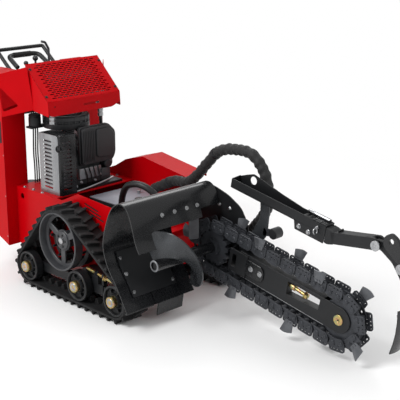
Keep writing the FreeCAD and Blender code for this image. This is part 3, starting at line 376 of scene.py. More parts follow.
STAND_XZ = Matrix.Rotation(math.pi / 2, 4, "X")
STAND_YZ = Matrix(((0, 0, 1, 0), (1, 0, 0, 0), (0, 1, 0, 0), (0, 0, 0, 1)))
ALONG_Y = Matrix.Rotation(-math.pi / 2, 4, "X")
ALONG_X = Matrix.Rotation(math.pi / 2, 4, "Y")
QUARTER_TURN = Matrix.Rotation(math.pi / 2, 4, "Z")
SEAM = 0.001


def linked(name: str, data: bpy.types.ID | None) -> bpy.types.Object:
    """Return a new object with the given data, linked to the scene."""
    made = bpy.data.objects.new(name, data)
    bpy.context.scene.collection.objects.link(made)
    return made


def settled(holder: bpy.types.Object) -> bpy.types.Mesh:
    """Return a plain mesh of an object's shape with its modifiers, and remove the object."""
    graph = bpy.context.evaluated_depsgraph_get()
    mesh = bpy.data.meshes.new_from_object(holder.evaluated_get(graph))
    holder.modifiers.clear()
    bpy.data.objects.remove(holder)
    return mesh


def rounded(points: Sequence[Point2], radius: float, steps: int = 4) -> list[Point2]:
    """Round the corners of a closed outline.

    Args:
        points: Corners in order.
        radius: Corner radius, cut down where a side is too short for it.
        steps: Points in each corner after the first.

    Returns:
        The rounded outline.
    """
    made: list[Point2] = []
    count = len(points)
    for i, point in enumerate(points):
        here = Vector(point)
        back = Vector(points[i - 1]) - here
        ahead = Vector(points[(i + 1) % count]) - here
        reach = min(radius, back.length * 0.45, ahead.length * 0.45)
        start = here + back.normalized() * reach
        end = here + ahead.normalized() * reach
        for k in range(steps + 1):
            t = k / steps
            spot = start * (1 - t) ** 2 + here * 2 * t * (1 - t) + end * t ** 2
            made.append((spot.x, spot.y))
    return made


def circle(x: float, y: float, radius: float, steps: int = 24) -> list[Point2]:
    """Return a round outline."""
    return [(x + radius * math.cos(2 * math.pi * k / steps), y + radius * math.sin(2 * math.pi * k / steps))
        for k in range(steps)]


def oblong(x0: float, x1: float, y0: float, y1: float, radius: float) -> list[Point2]:
    """Return a rectangle with rounded corners."""
    return rounded([(x0, y0), (x1, y0), (x1, y1), (x0, y1)], radius)


def plate(outline: Sequence[Point2], thickness: float, holes: Sequence[Sequence[Point2]] = (),
        edge: float = 0.6) -> bpy.types.Mesh:
    """Cut a flat plate, centred on its own plane, with eased edges.

    Args:
        outline: Outer outline.
        thickness: Full thickness.
        holes: Outlines cut out of it.
        edge: Size of the eased edge.

    Returns:
        A closed mesh.
    """
    line = bpy.data.curves.new("cut", "CURVE")
    line.dimensions = "2D"
    line.fill_mode = "BOTH"
    line.extrude = thickness / 2 - edge
    line.bevel_depth = edge
    line.bevel_resolution = 0
    line.offset = -edge
    for ring in (outline, *holes):
        spline = line.splines.new("POLY")
        spline.points.add(len(ring) - 1)
        for point, (x, y) in zip(spline.points, ring):
            point.co = (x, y, 0, 1)
        spline.use_cyclic_u = True
    return swept(line)


def swept(data: bpy.types.Curve) -> bpy.types.Mesh:
    """Turn curve data into a closed mesh whose seams are merged, and remove the data."""
    holder = bpy.data.objects.new("holder", data)
    mesh = bpy.data.meshes.new_from_object(holder)
    bpy.data.objects.remove(holder)
    bpy.data.curves.remove(data)
    bm = bmesh.new()
    bm.from_mesh(mesh)
    bmesh.ops.remove_doubles(bm, verts=bm.verts, dist=SEAM)
    bmesh.ops.recalc_face_normals(bm, faces=bm.faces)
    bm.to_mesh(mesh)
    bm.free()
    return mesh


def bar(points: Sequence[Point3], radius: float, straight: bool = False) -> bpy.types.Mesh:
    """Bend a round bar or tube with closed ends.

    Args:
        points: Points of its line, which guide a smooth line unless straight.
        radius: Bar radius.
        straight: Keep straight runs between the points.

    Returns:
        A closed mesh.
    """
    line = bpy.data.curves.new("bar", "CURVE")
    line.dimensions = "3D"
    line.bevel_depth = radius
    line.bevel_resolution = 4
    line.use_fill_caps = True
    spline = line.splines.new("POLY" if straight else "NURBS")
    spline.points.add(len(points) - 1)
    for point, co in zip(spline.points, points):
        point.co = (*co, 1)
    if not straight:
        spline.order_u = 3
        spline.use_endpoint_u = True
        spline.resolution_u = 8
    return swept(line)


def block(size: Point3, centre: Point3 = (0, 0, 0), edge: float = 1.0) -> bpy.types.Mesh:
    """Make a block with eased edges.

    Args:
        size: Full lengths.
        centre: Middle of the block.
        edge: Size of the eased edge.

    Returns:
        A closed mesh.
    """
    bm = bmesh.new()
    bmesh.ops.create_cube(bm, size=1.0)
    for vert in bm.verts:
        vert.co = Vector(a * b + c for a, b, c in zip(vert.co, size, centre))
    if edge:
        bmesh.ops.bevel(bm, geom=list(bm.edges), offset=edge, segments=2, affect="EDGES", profile=0.7)
    return closed(bm)


def closed(bm: bmesh.types.BMesh) -> bpy.types.Mesh:
    """Finish a bmesh as a mesh with outward faces."""
    bmesh.ops.recalc_face_normals(bm, faces=bm.faces)
    mesh = bpy.data.meshes.new("shape")
    bm.to_mesh(mesh)
    bm.free()
    return mesh


def turned(profile: Sequence[Point2], steps: int = 40) -> bpy.types.Mesh:
    """Turn a profile about local Z.

    Args:
        profile: Radius and height pairs; the profile is closed round its ends.
        steps: Segments round the axis.

    Returns:
        A closed mesh.
    """
    bm = bmesh.new()
    rings = []
    for radius, height in profile:
        if radius < 1e-6:
            rings.append([bm.verts.new((0, 0, height))])
            continue
        rings.append([bm.verts.new((x, y, height)) for x, y in circle(0, 0, radius, steps)])
    pairs = list(zip(rings, rings[1:]))
    if len(rings[0]) > 1:
        pairs.append((rings[-1], rings[0]))
    for low, high in pairs:
        for k in range(steps):
            corners = [low[k % len(low)], low[(k + 1) % len(low)], high[(k + 1) % len(high)],
                high[k % len(high)]]
            unique = list(dict.fromkeys(corners))
            if len(unique) > 2:
                bm.faces.new(unique)
    return closed(bm)


def skin(rows: Sequence[Sequence[Point3]], round_rows: bool = False,
        round_cols: bool = False) -> bpy.types.Mesh:
    """Join rows of points into a sheet or a closed shell.

    Args:
        rows: Rows with the same number of points.
        round_rows: Join the last row to the first.
        round_cols: Join each row's last point to its first.

    Returns:
        The mesh.
    """
    bm = bmesh.new()
    grid = [[bm.verts.new(p) for p in row] for row in rows]
    count, across = len(grid), len(grid[0])
    for i in range(count if round_rows else count - 1):
        for j in range(across if round_cols else across - 1):
            bm.faces.new((grid[i][j], grid[(i + 1) % count][j], grid[(i + 1) % count][(j + 1) % across],
                grid[i][(j + 1) % across]))
    if round_cols and not round_rows:
        bm.faces.new(grid[0])
        bm.faces.new(grid[-1])
    return closed(bm)


def bolt(across: float = 16.0, height: float = 8.0) -> bpy.types.Mesh:
    """Make a flanged hex bolt head with a chamfered top, standing on local Z."""
    bm = bmesh.new()
    radius = across / math.sqrt(3)
    bmesh.ops.create_cone(bm, cap_ends=True, segments=6, radius1=radius, radius2=radius, depth=height,
        matrix=Matrix.Translation((0, 0, height / 2)))
    bmesh.ops.bevel(bm, geom=[e for e in bm.edges if all(v.co.z > height * 0.9 for v in e.verts)],
        offset=height * 0.15, segments=1, affect="EDGES")
    bmesh.ops.create_cone(bm, cap_ends=True, segments=16, radius1=across * 0.78, radius2=across * 0.66,
        depth=height * 0.22, matrix=Matrix.Translation((0, 0, height * 0.11)))
    return closed(bm)


@dataclass
class Bench:
    """Collects shaped parts with their places and finishes, and welds them into one piece."""
    layouts: Layouts
    copier: "Copier"
    parts: list[tuple[bpy.types.Mesh, Matrix, Coat]] = field(default_factory=list)

    def put(self, mesh: bpy.types.Mesh, finish: Coat, place: Matrix | None = None) -> "Bench":
        """Lay one part on the bench.

        Args:
            mesh: The part.
            finish: What it is finished with.
            place: Where it goes in the layout.

        Returns:
            The bench.
        """
        self.parts.append((mesh, place or Matrix.Identity(4), finish))
        return self

    def stand(self, mesh: bpy.types.Mesh, finish: Coat, y: float) -> "Bench":
        """Lay a part drawn in X and Z, its own middle plane at the given Y, and return the bench."""
        return self.put(mesh, finish, place(0, y, 0) @ STAND_XZ)

    def repeat(self, mesh: bpy.types.Mesh, places: Sequence[Matrix], finish: Coat,
            jitter: float = 0.0) -> "Bench":
        """Lay a copy of a part at every place, each turned by up to the jitter, and return the bench."""
        return self.put(self.copier.copies(mesh, places, finish, jitter), finish)

    def weld(self, name: str, body: str, slot: str, node: str = "", crease: float = 32.0) -> None:
        """Make the finished piece.

        Args:
            name: Piece name.
            body: CAD body it rides on.
            slot: Record's material slot.
            node: CAD node it stands for.
            crease: Angle in degrees above which an edge stays sharp.
        """
        bm = bmesh.new()
        layout = self.layouts.of(body)
        used = list(dict.fromkeys(f for _, _, f in self.parts))
        for mesh, place, finish in self.parts:
            start = len(bm.faces)
            copy = mesh.copy()
            copy.transform(layout @ place)
            if (layout @ place).determinant() < 0:
                copy.flip_normals()
            bm.from_mesh(copy)
            bm.faces.ensure_lookup_table()
            for face in bm.faces[start:]:
                face.material_index = used.index(finish)
                face.smooth = True
            bpy.data.meshes.remove(copy)
        whole = bpy.data.meshes.new(name)
        bm.to_mesh(whole)
        bm.free()
        for finish in used:
            whole.materials.append(finish.material())
        whole.set_sharp_from_angle(angle=math.radians(crease))
        piece = linked(name, whole)
        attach(piece, body)
        if node:
            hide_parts(node)
        LOG.info("%s: %d faces on %s", name, len(whole.polygons), body)


class Copier:
    """Geometry Nodes tree that puts one part at every point of a mesh, turned by the point's "turn"."""

    def __init__(self) -> None:
        """Build the tree once."""
        self.tree = bpy.data.node_groups.new("copies_at_points", "GeometryNodeTree")
        face = self.tree.interface
        face.new_socket("Geometry", in_out="INPUT", socket_type="NodeSocketGeometry")
        face.new_socket("Geometry", in_out="OUTPUT", socket_type="NodeSocketGeometry")
        self.ids = {"part": face.new_socket("Part", in_out="INPUT",
            socket_type="NodeSocketObject").identifier, "finish": face.new_socket("Finish", in_out="INPUT",
            socket_type="NodeSocketMaterial").identifier, "jitter": face.new_socket("Jitter", in_out="INPUT",
            socket_type="NodeSocketFloat").identifier}
        given = add_node(self.tree, "NodeGroupInput")
        turn = add_node(self.tree, "GeometryNodeInputNamedAttribute", {"Name": "turn"},
            data_type="FLOAT_VECTOR")
        part = add_node(self.tree, "GeometryNodeObjectInfo", {"Object": given.outputs["Part"],
            "As Instance": True})
        shake = add_node(self.tree, "FunctionNodeRandomValue", {"Seed": 7}, data_type="FLOAT_VECTOR")
        shake.inputs[0].default_value = (-1.0, -1.0, -1.0)
        shake.inputs[1].default_value = (1.0, 1.0, 1.0)
        scaled = add_node(self.tree, "ShaderNodeVectorMath",
            {0: shake.outputs[0], "Scale": given.outputs["Jitter"]}, operation="SCALE")
        total = add_node(self.tree, "ShaderNodeVectorMath", {0: turn.outputs["Attribute"],
            1: scaled.outputs["Vector"]}, operation="ADD")
        euler = add_node(self.tree, "FunctionNodeEulerToRotation", {"Euler": total.outputs["Vector"]})
        spread = add_node(self.tree, "GeometryNodeInstanceOnPoints", {"Points": given.outputs["Geometry"],
            "Instance": part.outputs["Geometry"], "Rotation": euler.outputs["Rotation"]})
        real = add_node(self.tree, "GeometryNodeRealizeInstances", {"Geometry": spread.outputs["Instances"]})
        dressed = add_node(self.tree, "GeometryNodeSetMaterial", {"Geometry": real.outputs["Geometry"],
            "Material": given.outputs["Finish"]})
        add_node(self.tree, "NodeGroupOutput", {"Geometry": dressed.outputs["Geometry"]})

    def copies(self, part: bpy.types.Mesh, places: Sequence[Matrix], finish: Coat,
            jitter: float) -> bpy.types.Mesh:
        """Repeat a part.

        Args:
            part: The part, about its own origin.
            places: Where each copy goes, without scale.
            finish: Finish of the copies.
            jitter: Largest random turn in radians.

        Returns:
            One mesh with all the copies.
        """
        points = bpy.data.meshes.new("places")
        points.from_pydata([m.translation for m in places], [], [])
        turn = points.attributes.new("turn", "FLOAT_VECTOR", "POINT")
        for value, m in zip(turn.data, places):
            value.vector = m.to_euler("XYZ")
        model, holder = linked("part", part), linked("holder", points)
        modifier = holder.modifiers.new("copies", "NODES")
        modifier.node_group = self.tree
        modifier[self.ids["part"]] = model
        modifier[self.ids["finish"]] = finish.material()
        modifier[self.ids["jitter"]] = jitter
        mesh = settled(holder)
        bpy.data.objects.remove(model)
        mesh.materials.clear()
        return mesh


def place(x: float, y: float, z: float, turn: Matrix | None = None) -> Matrix:
    """Return a matrix that turns a part and moves it to a point."""
    return Matrix.Translation((x, y, z)) @ (turn or Matrix.Identity(4))


def facing(normal: Sequence[float]) -> Matrix:
    """Return the turn that points local Z along a direction."""
    return Vector(normal).to_track_quat("Z", "Y").to_matrix().to_4x4()


def spin_y(degrees: float) -> Matrix:
    """Return a turn about Y."""
    return Matrix.Rotation(math.radians(degrees), 4, "Y")


class Assembly:
    """One sub-assembly, which makes its pieces in the layouts with the copier that it is given."""
    layouts: ClassVar[Layouts]
    copier: ClassVar[Copier]

    def bench(self) -> Bench:
        """Return an empty bench."""
        return Bench(self.layouts, self.copier)


# ------------------------------------------------------------------ studio

@dataclass
class Studio:
    """Pale floor, soft lights and the camera."""
    eye: Point3 = (3722.0, -3238.0, 1939.0)
    azimuth: float = 45.24
    elevation: float = 16.55
    lens: float = 88.7
    floor_size: float = 60.0
    room_radius: float = 29.0

    def build(self, layouts: Layouts) -> None:
        """Set up the camera, then the floor and the lights."""
        self.camera(layouts)
        self.floor()
        self.backdrop()
        self.lights()

    def camera(self, layouts: Layouts) -> None:
        """Place the camera."""
        data = bpy.data.cameras.new("camera")
        data.lens = self.lens
        data.sensor_width = 36.0
        data.clip_end = 100.0
        camera = linked("camera", data)
        a, e = math.radians(self.azimuth), math.radians(self.elevation)
        back = Vector((math.sin(a) * math.cos(e), -math.cos(a) * math.cos(e), math.sin(e)))
        camera.location = layouts.machine @ Vector(self.eye)
        camera.rotation_euler = (-back).to_track_quat("-Z", "Y").to_euler()
        bpy.context.scene.camera = camera

    def floor(self) -> None:
        """Lay a pale matt floor at the object's lowest point."""
        half = self.floor_size / 2
        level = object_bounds()[0].z - 0.0008
        mesh = bpy.data.meshes.new("floor")
        mesh.from_pydata([(-half, -half, level), (half, -half, level), (half, half, level),
            (-half, half, level)], [], [(0, 1, 2, 3)])
        made = bpy.data.materials.new("matt_studio_floor")
        made.use_nodes = True
        shader = made.node_tree.nodes["Principled BSDF"]
        shader.inputs["Base Color"].default_value = srgb("#f7f7f7")
        shader.inputs["Roughness"].default_value = 0.85
        shader.inputs["Specular IOR Level"].default_value = 0.15
        tree = made.node_tree
        glow = add_node(tree, "ShaderNodeEmission", {"Color": srgb("#ffffff"), "Strength": 1.0})
        where = add_node(tree, "ShaderNodeTexCoord").outputs["Object"]
        reach = add_node(tree, "ShaderNodeVectorMath", {0: where}, operation="LENGTH")
        fade = add_node(tree, "ShaderNodeMapRange", {"Value": reach.outputs["Value"], "From Min": 1.3,
            "From Max": 3.6})
        blend = add_node(tree, "ShaderNodeMixShader", {"Fac": fade.outputs["Result"]})
        tree.links.new(shader.outputs["BSDF"], blend.inputs[1])
        tree.links.new(glow.outputs["Emission"], blend.inputs[2])
        tree.links.new(blend.outputs["Shader"], tree.nodes["Material Output"].inputs["Surface"])
        mesh.materials.append(made)
        floor = linked("floor", mesh)
        floor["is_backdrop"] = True

    def backdrop(self) -> None:
        """Hang a white cloth dome round the floor, lit evenly from behind, that casts no light itself."""
        bm = bmesh.new()
        bmesh.ops.create_uvsphere(bm, u_segments=48, v_segments=24, radius=self.room_radius)
        mesh = bpy.data.meshes.new("backdrop")
        bm.to_mesh(mesh)
        bm.free()
        made = bpy.data.materials.new("backlit_white_cloth")
        made.use_nodes = True
        tree = made.node_tree
        glow = add_node(tree, "ShaderNodeEmission", {"Color": srgb("#ffffff"), "Strength": 1.0})
        tree.links.new(glow.outputs["Emission"], tree.nodes["Material Output"].inputs["Surface"])
        mesh.materials.append(made)
        dome = bpy.data.objects.new("backdrop", mesh)
        for ray in ("diffuse", "glossy", "transmission", "volume_scatter", "shadow"):
            setattr(dome, f"visible_{ray}", False)
        bpy.context.scene.collection.objects.link(dome)
        dome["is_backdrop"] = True

    def lights(self) -> None:
        """Hang three soft boxes and light the room evenly."""
        scene = bpy.context.scene
        scene.view_settings.view_transform = "Standard"
        world = bpy.data.worlds.new("room")
        scene.world = world
        world.use_nodes = True
        sky = world.node_tree.nodes["Background"]
        sky.inputs["Color"].default_value = (1, 1, 1, 1)
        sky.inputs["Strength"].default_value = 0.62
        self.softbox("key", (-1.2, -4.4, 5.0), (0.0, 0.0, 0.4), 2.6, 270)
        self.softbox("fill", (5.6, 0.6, 3.6), (0.2, 0.0, 0.4), 3.0, 60)
        self.softbox("back", (-3.2, 3.0, 4.8), (0.0, 0.0, 0.6), 3.0, 90)

    def softbox(self, name: str, spot: Point3, aim: Point3, size: float, power: float) -> None:
        """Hang one square area light.

        Args:
            name: Light name.
            spot: Where it hangs, metres.
            aim: Point it faces.
            size: Side of the square.
            power: Watts.
        """
        data = bpy.data.lights.new(name, "AREA")
        data.size = size
        data.energy = power
        light = linked(name, data)
        light.location = spot
        light.rotation_euler = (Vector(aim) - Vector(spot)).to_track_quat("-Z", "Y").to_euler()


# ------------------------------------------------------------------ tracks

class Side(Enum):
    """Side of the machine, by the sign of Y."""
    RIGHT = -1
    LEFT = 1

    def out(self) -> Matrix:
        """Return the turn that points local Z outwards on this side."""
        return Matrix.Rotation(math.radians(-90 * self.value), 4, "X")

    @property
    def word(self) -> str:
        """Return the side's name as the nodes use it."""
        return self.name.lower()


@dataclass
class Track(Assembly):
    """One rubber track: belt, sprocket and road wheels."""
    side: Side
    wheels: dict[str, float] = field(default_factory=lambda: {"rear": -414.0, "mid": 0.0, "front": 288.0})
    wheel_z: float = 113.0
    wheel_radius: float = 80.0
    sprocket: Point2 = (-142.0, 314.0)
    sprocket_radius: float = 153.0
    inner: float = 287.0
    outer: float = 430.0
    belt: float = 12.6
    gap: float = 0.4
    lug: float = 20.0
    lugs: int = 38

    @property
    def middle(self) -> float:
        """Return the distance of the track's middle from the centre plane."""
        return (self.inner + self.outer) / 2

    def make(self) -> None:
        """Build the whole track."""
        self.make_belt()
        self.make_sprocket()
        for where in self.wheels:
            self.make_wheel(where)

    def line(self, offset: float, step: float = 6.0) -> list[tuple[float, float, float, float]]:
        """Walk round the wheels and the sprocket.

        Args:
            offset: Distance outside their rims.
            step: Distance between samples.

        Returns:
            X, Z and the travel direction at even steps.
        """
        rings = [(self.wheels["rear"], self.wheel_z, self.wheel_radius), (self.wheels["front"], self.wheel_z,
            self.wheel_radius), (*self.sprocket, self.sprocket_radius)]
        leave = []
        for i, (ax, az, ar) in enumerate(rings):
            bx, bz, br = rings[(i + 1) % 3]
            reach = math.hypot(bx - ax, bz - az)
            leave.append(math.atan2(bz - az, bx - ax) - math.pi / 2 + math.asin((ar - br) / reach))
        corners: list[Vector] = []
        for i, (x, z, r) in enumerate(rings):
            start, end = leave[i - 1], leave[i]
            while end < start:
                end += 2 * math.pi
            count = max(6, int((end - start) * (r + offset) / 4))
            for k in range(count + 1):
                a = start + (end - start) * k / count
                corners.append(Vector((x + (r + offset) * math.cos(a), z + (r + offset) * math.sin(a))))
        return walk(corners, step)

    def on_line(self, station: tuple[float, float, float, float], y: float) -> Matrix:
        """Return the place of a part whose local X follows the belt and local Z points outwards."""
        x, z, tx, tz = station
        return Matrix(((tx, 0, tz, x), (0, -1, 0, y), (tz, 0, -tx, z), (0, 0, 0, 1)))

    def make_belt(self) -> None:
        """Mould the belt with staggered tread bars outside and guide teeth inside."""
        low, high = self.gap, self.gap + self.belt
        half = (self.outer - self.inner) / 2
        section = [(-half, low + 2), (-half + 3, low), (half - 3, low), (half, low + 2), (half, high - 3),
            (half - 4, high), (-half + 4, high), (-half, high - 3)]
        y0 = self.side.value * self.middle
        base = self.line(0.0, 9.0)
        rows = [[(x + tz * h, y0 + y, z - tx * h) for y, h in section] for x, z, tx, tz in base]
        bench = self.bench().put(skin(rows, round_rows=True, round_cols=True), Coat.RUBBER)
        stations = self.line(high - 1.5, 0.0)
        total = len(stations)
        bars = [self.tread_bar(1), self.tread_bar(-1)]
        for k, bar_mesh in enumerate(bars):
            spots = [stations[int((i + 0.5 * k) * total / self.lugs) % total] for i in range(self.lugs)]
            bench.repeat(bar_mesh, [self.on_line(s, y0) for s in spots], Coat.RUBBER)
        tooth = plate([(-17, 3), (17, 3), (7, -26), (-7, -26)], 32, edge=1.5)
        inside = self.line(low, 0.0)
        spots = [inside[int((i + 0.5) * len(inside) / self.lugs) % len(inside)] for i in range(self.lugs)]
        bench.repeat(tooth, [self.on_line(s, y0) @ STAND_XZ for s in spots], Coat.RUBBER)
        node = f"track_belt_{self.side.word}"
        bench.weld(f"belt_{self.side.word}", "chassis", "track_rubber", node)

    def tread_bar(self, half: int) -> bpy.types.Mesh:
        """Mould one slanted tread bar for one half of the belt's width.

        Args:
            half: 1 or -1 for the half that it covers.

        Returns:
            The bar with its stepped foot, local Z outwards.
        """
        reach = (self.outer - self.inner) / 2 - 1
        outline = [(-20, 2 * half), (-8, -6 * half), (10, reach * 0.45 * half), (15, reach * half),
            (0, reach * half), (-8, reach * 0.5 * half)]
        foot = [(x * 1.25, y) for x, y in outline]
        bar_mesh = bmesh.new()
        for shape, thick, z, edge in ((outline, self.lug, self.lug / 2, 1.6), (foot, 6.0, 3.0, 1.2)):
            part = plate(rounded(shape, 4.0, 2), thick, edge=edge)
            part.transform(place(0, 0, z))
            bar_mesh.from_mesh(part)
            bpy.data.meshes.remove(part)
        return closed(bar_mesh)

    def make_sprocket(self) -> None:
        """Make the three-spoke sprocket with its deep rim, hub and drive bars."""
        x, z = self.sprocket
        hub = place(x, 0, z, self.side.out())
        m, r = self.middle, self.sprocket_radius
        bench = self.bench()
        outer = [(r - 24, m + 21), (r - 2, m + 21), (r, m + 23), (r, self.outer - 4), (r - 3, self.outer - 2),
            (r - 9, self.outer - 2), (r - 11, self.outer - 5), (r - 13, m + 34), (r - 20, m + 34),
            (r - 24, m + 31)]
        bench.put(turned(outer, 96), Coat.GREY_STEEL, hub)
        inner = [(r - 24, self.inner + 4), (r, self.inner + 4), (r, m - 21), (r - 24, m - 21)]
        bench.put(turned(inner, 72), Coat.SATIN, hub)
        web = plate(circle(0, 0, r - 20, 72), 12, [self.window(k * 120 + 90) for k in range(3)], edge=2.0)
        bench.put(web, Coat.GREY_STEEL, hub @ place(0, 0, m + 27))
        boss = [(0, self.inner - 8), (44, self.inner - 8), (44, m + 21), (50, m + 23), (50, m + 37),
            (47, m + 40), (38, m + 42), (36, m + 39), (18, m + 39), (0, m + 39)]
        bench.put(turned(boss), Coat.GREY_STEEL, hub)
        cap = [(0, m + 38), (17, m + 38), (17, m + 46), (13, m + 48), (0, m + 48)]
        bench.put(turned(cap, 24), Coat.SILVER_ZINC, hub)
        ring = [(r - 42, self.inner + 4), (r - 20, self.inner + 4), (r - 20, self.inner + 14),
            (r - 42, self.inner + 14)]
        bench.put(turned(ring, 48), Coat.SATIN, hub)
        places = [hub @ place(111 * math.cos(a), 111 * math.sin(a), m - 30) for a in (math.radians(30 * k)
            for k in range(12))]
        peg = turned([(0, -38), (7, -38), (7, 52), (0, 52)], 12)
        bench.repeat(peg, places, Coat.SATIN)
        places = [hub @ place(30 * math.cos(a), 30 * math.sin(a), m + 39) for a in (math.radians(72 * k)
            for k in range(5))]
        bench.repeat(bolt(9, 5), places, Coat.SATIN)
        bench.weld(f"sprocket_{self.side.word}", f"sprocket_{self.side.word}", "painted_black",
            f"drive_sprocket_{self.side.word}")

    def window(self, centre: float) -> list[Point2]:
        """Return one window between two spokes, its middle at an angle in degrees."""
        low, high, spoke = 56.0, 122.0, 17.0
        ring: list[Point2] = []
        for radius, order in ((high, 1), (low, -1)):
            lean = 60 - math.degrees(math.asin(spoke / radius))
            for k in range(13):
                a = math.radians(centre + order * lean * (k / 6 - 1))
                ring.append((radius * math.cos(a), radius * math.sin(a)))
        return ring

    def make_wheel(self, where: str) -> None:
        """Make one road wheel with its dished disc and hub cap."""
        hub = place(self.wheels[where], 0, self.wheel_z, self.side.out())
        m, r, face = self.middle, self.wheel_radius, self.outer - 6
        outer = [(15, m + 21), (r - 2, m + 21), (r, m + 23), (r, face - 3), (r - 3, face), (r - 11, face),
            (r - 14, face - 4), (r - 16, face - 16), (r - 24, face - 20), (40, face - 20), (37, face - 8),
            (34, face - 2), (15, face - 2)]
        inner = [(15, self.inner + 4), (r - 2, self.inner + 4), (r, self.inner + 6), (r, m - 23),
            (r - 2, m - 21), (15, m - 21)]
        bench = self.bench().put(turned(outer, 64), Coat.SATIN, hub)
        bench.put(turned(inner, 48), Coat.SATIN, hub)
        rib = plate(oblong(-3, 3, -9, 9, 1.5), 14, edge=0.8)
        spots = [hub @ Matrix.Rotation(math.radians(60 * k), 4, "Z") @ place(50, 0,
            face - 14) @ QUARTER_TURN for k in range(6)]
        bench.repeat(rib, spots, Coat.SATIN)
        cap = [(0, face - 2), (30, face - 2), (31, face + 4), (30, 441), (27, 445.5), (22, 445.5), (20, 442),
            (13, 442), (12, 445), (10, 446), (0, 446)]
        bench.put(turned(cap, 40), Coat.ZINC, hub)
        bench.put(turned([(0, 439), (21.5, 439), (21.5, 445), (20.5, 445.9), (9, 445.9), (8, 444.6),
            (0, 444.6)], 36), Coat.SILVER_ZINC, hub)
        name = f"{where}_wheel_{self.side.word}"
        bench.weld(name, name, "painted_black", f"wheel_{where}_{self.side.word}")


def walk(corners: Sequence[Vector], step: float) -> list[tuple[float, float, float, float]]:
    """Resample a closed outline evenly.

    Args:
        corners: Its points.
        step: Distance between samples, or 0 for a very fine walk.

    Returns:
        Position and unit direction at each sample.
    """
    lengths = [(corners[(i + 1) % len(corners)] - p).length for i, p in enumerate(corners)]
    total = sum(lengths)
    count = int(total / (step or 0.5))
    made, i, gone = [], 0, 0.0
    for k in range(count):
        target = total * k / count
        while gone + lengths[i] <= target:
            gone += lengths[i]
            i += 1
        ahead = corners[(i + 1) % len(corners)] - corners[i]
        spot = corners[i] + ahead * ((target - gone) / max(lengths[i], 1e-9))
        ahead = ahead.normalized()
        made.append((spot.x, spot.y, ahead.x, ahead.y))
    return made


# ------------------------------------------------------------------ digging chain and bar

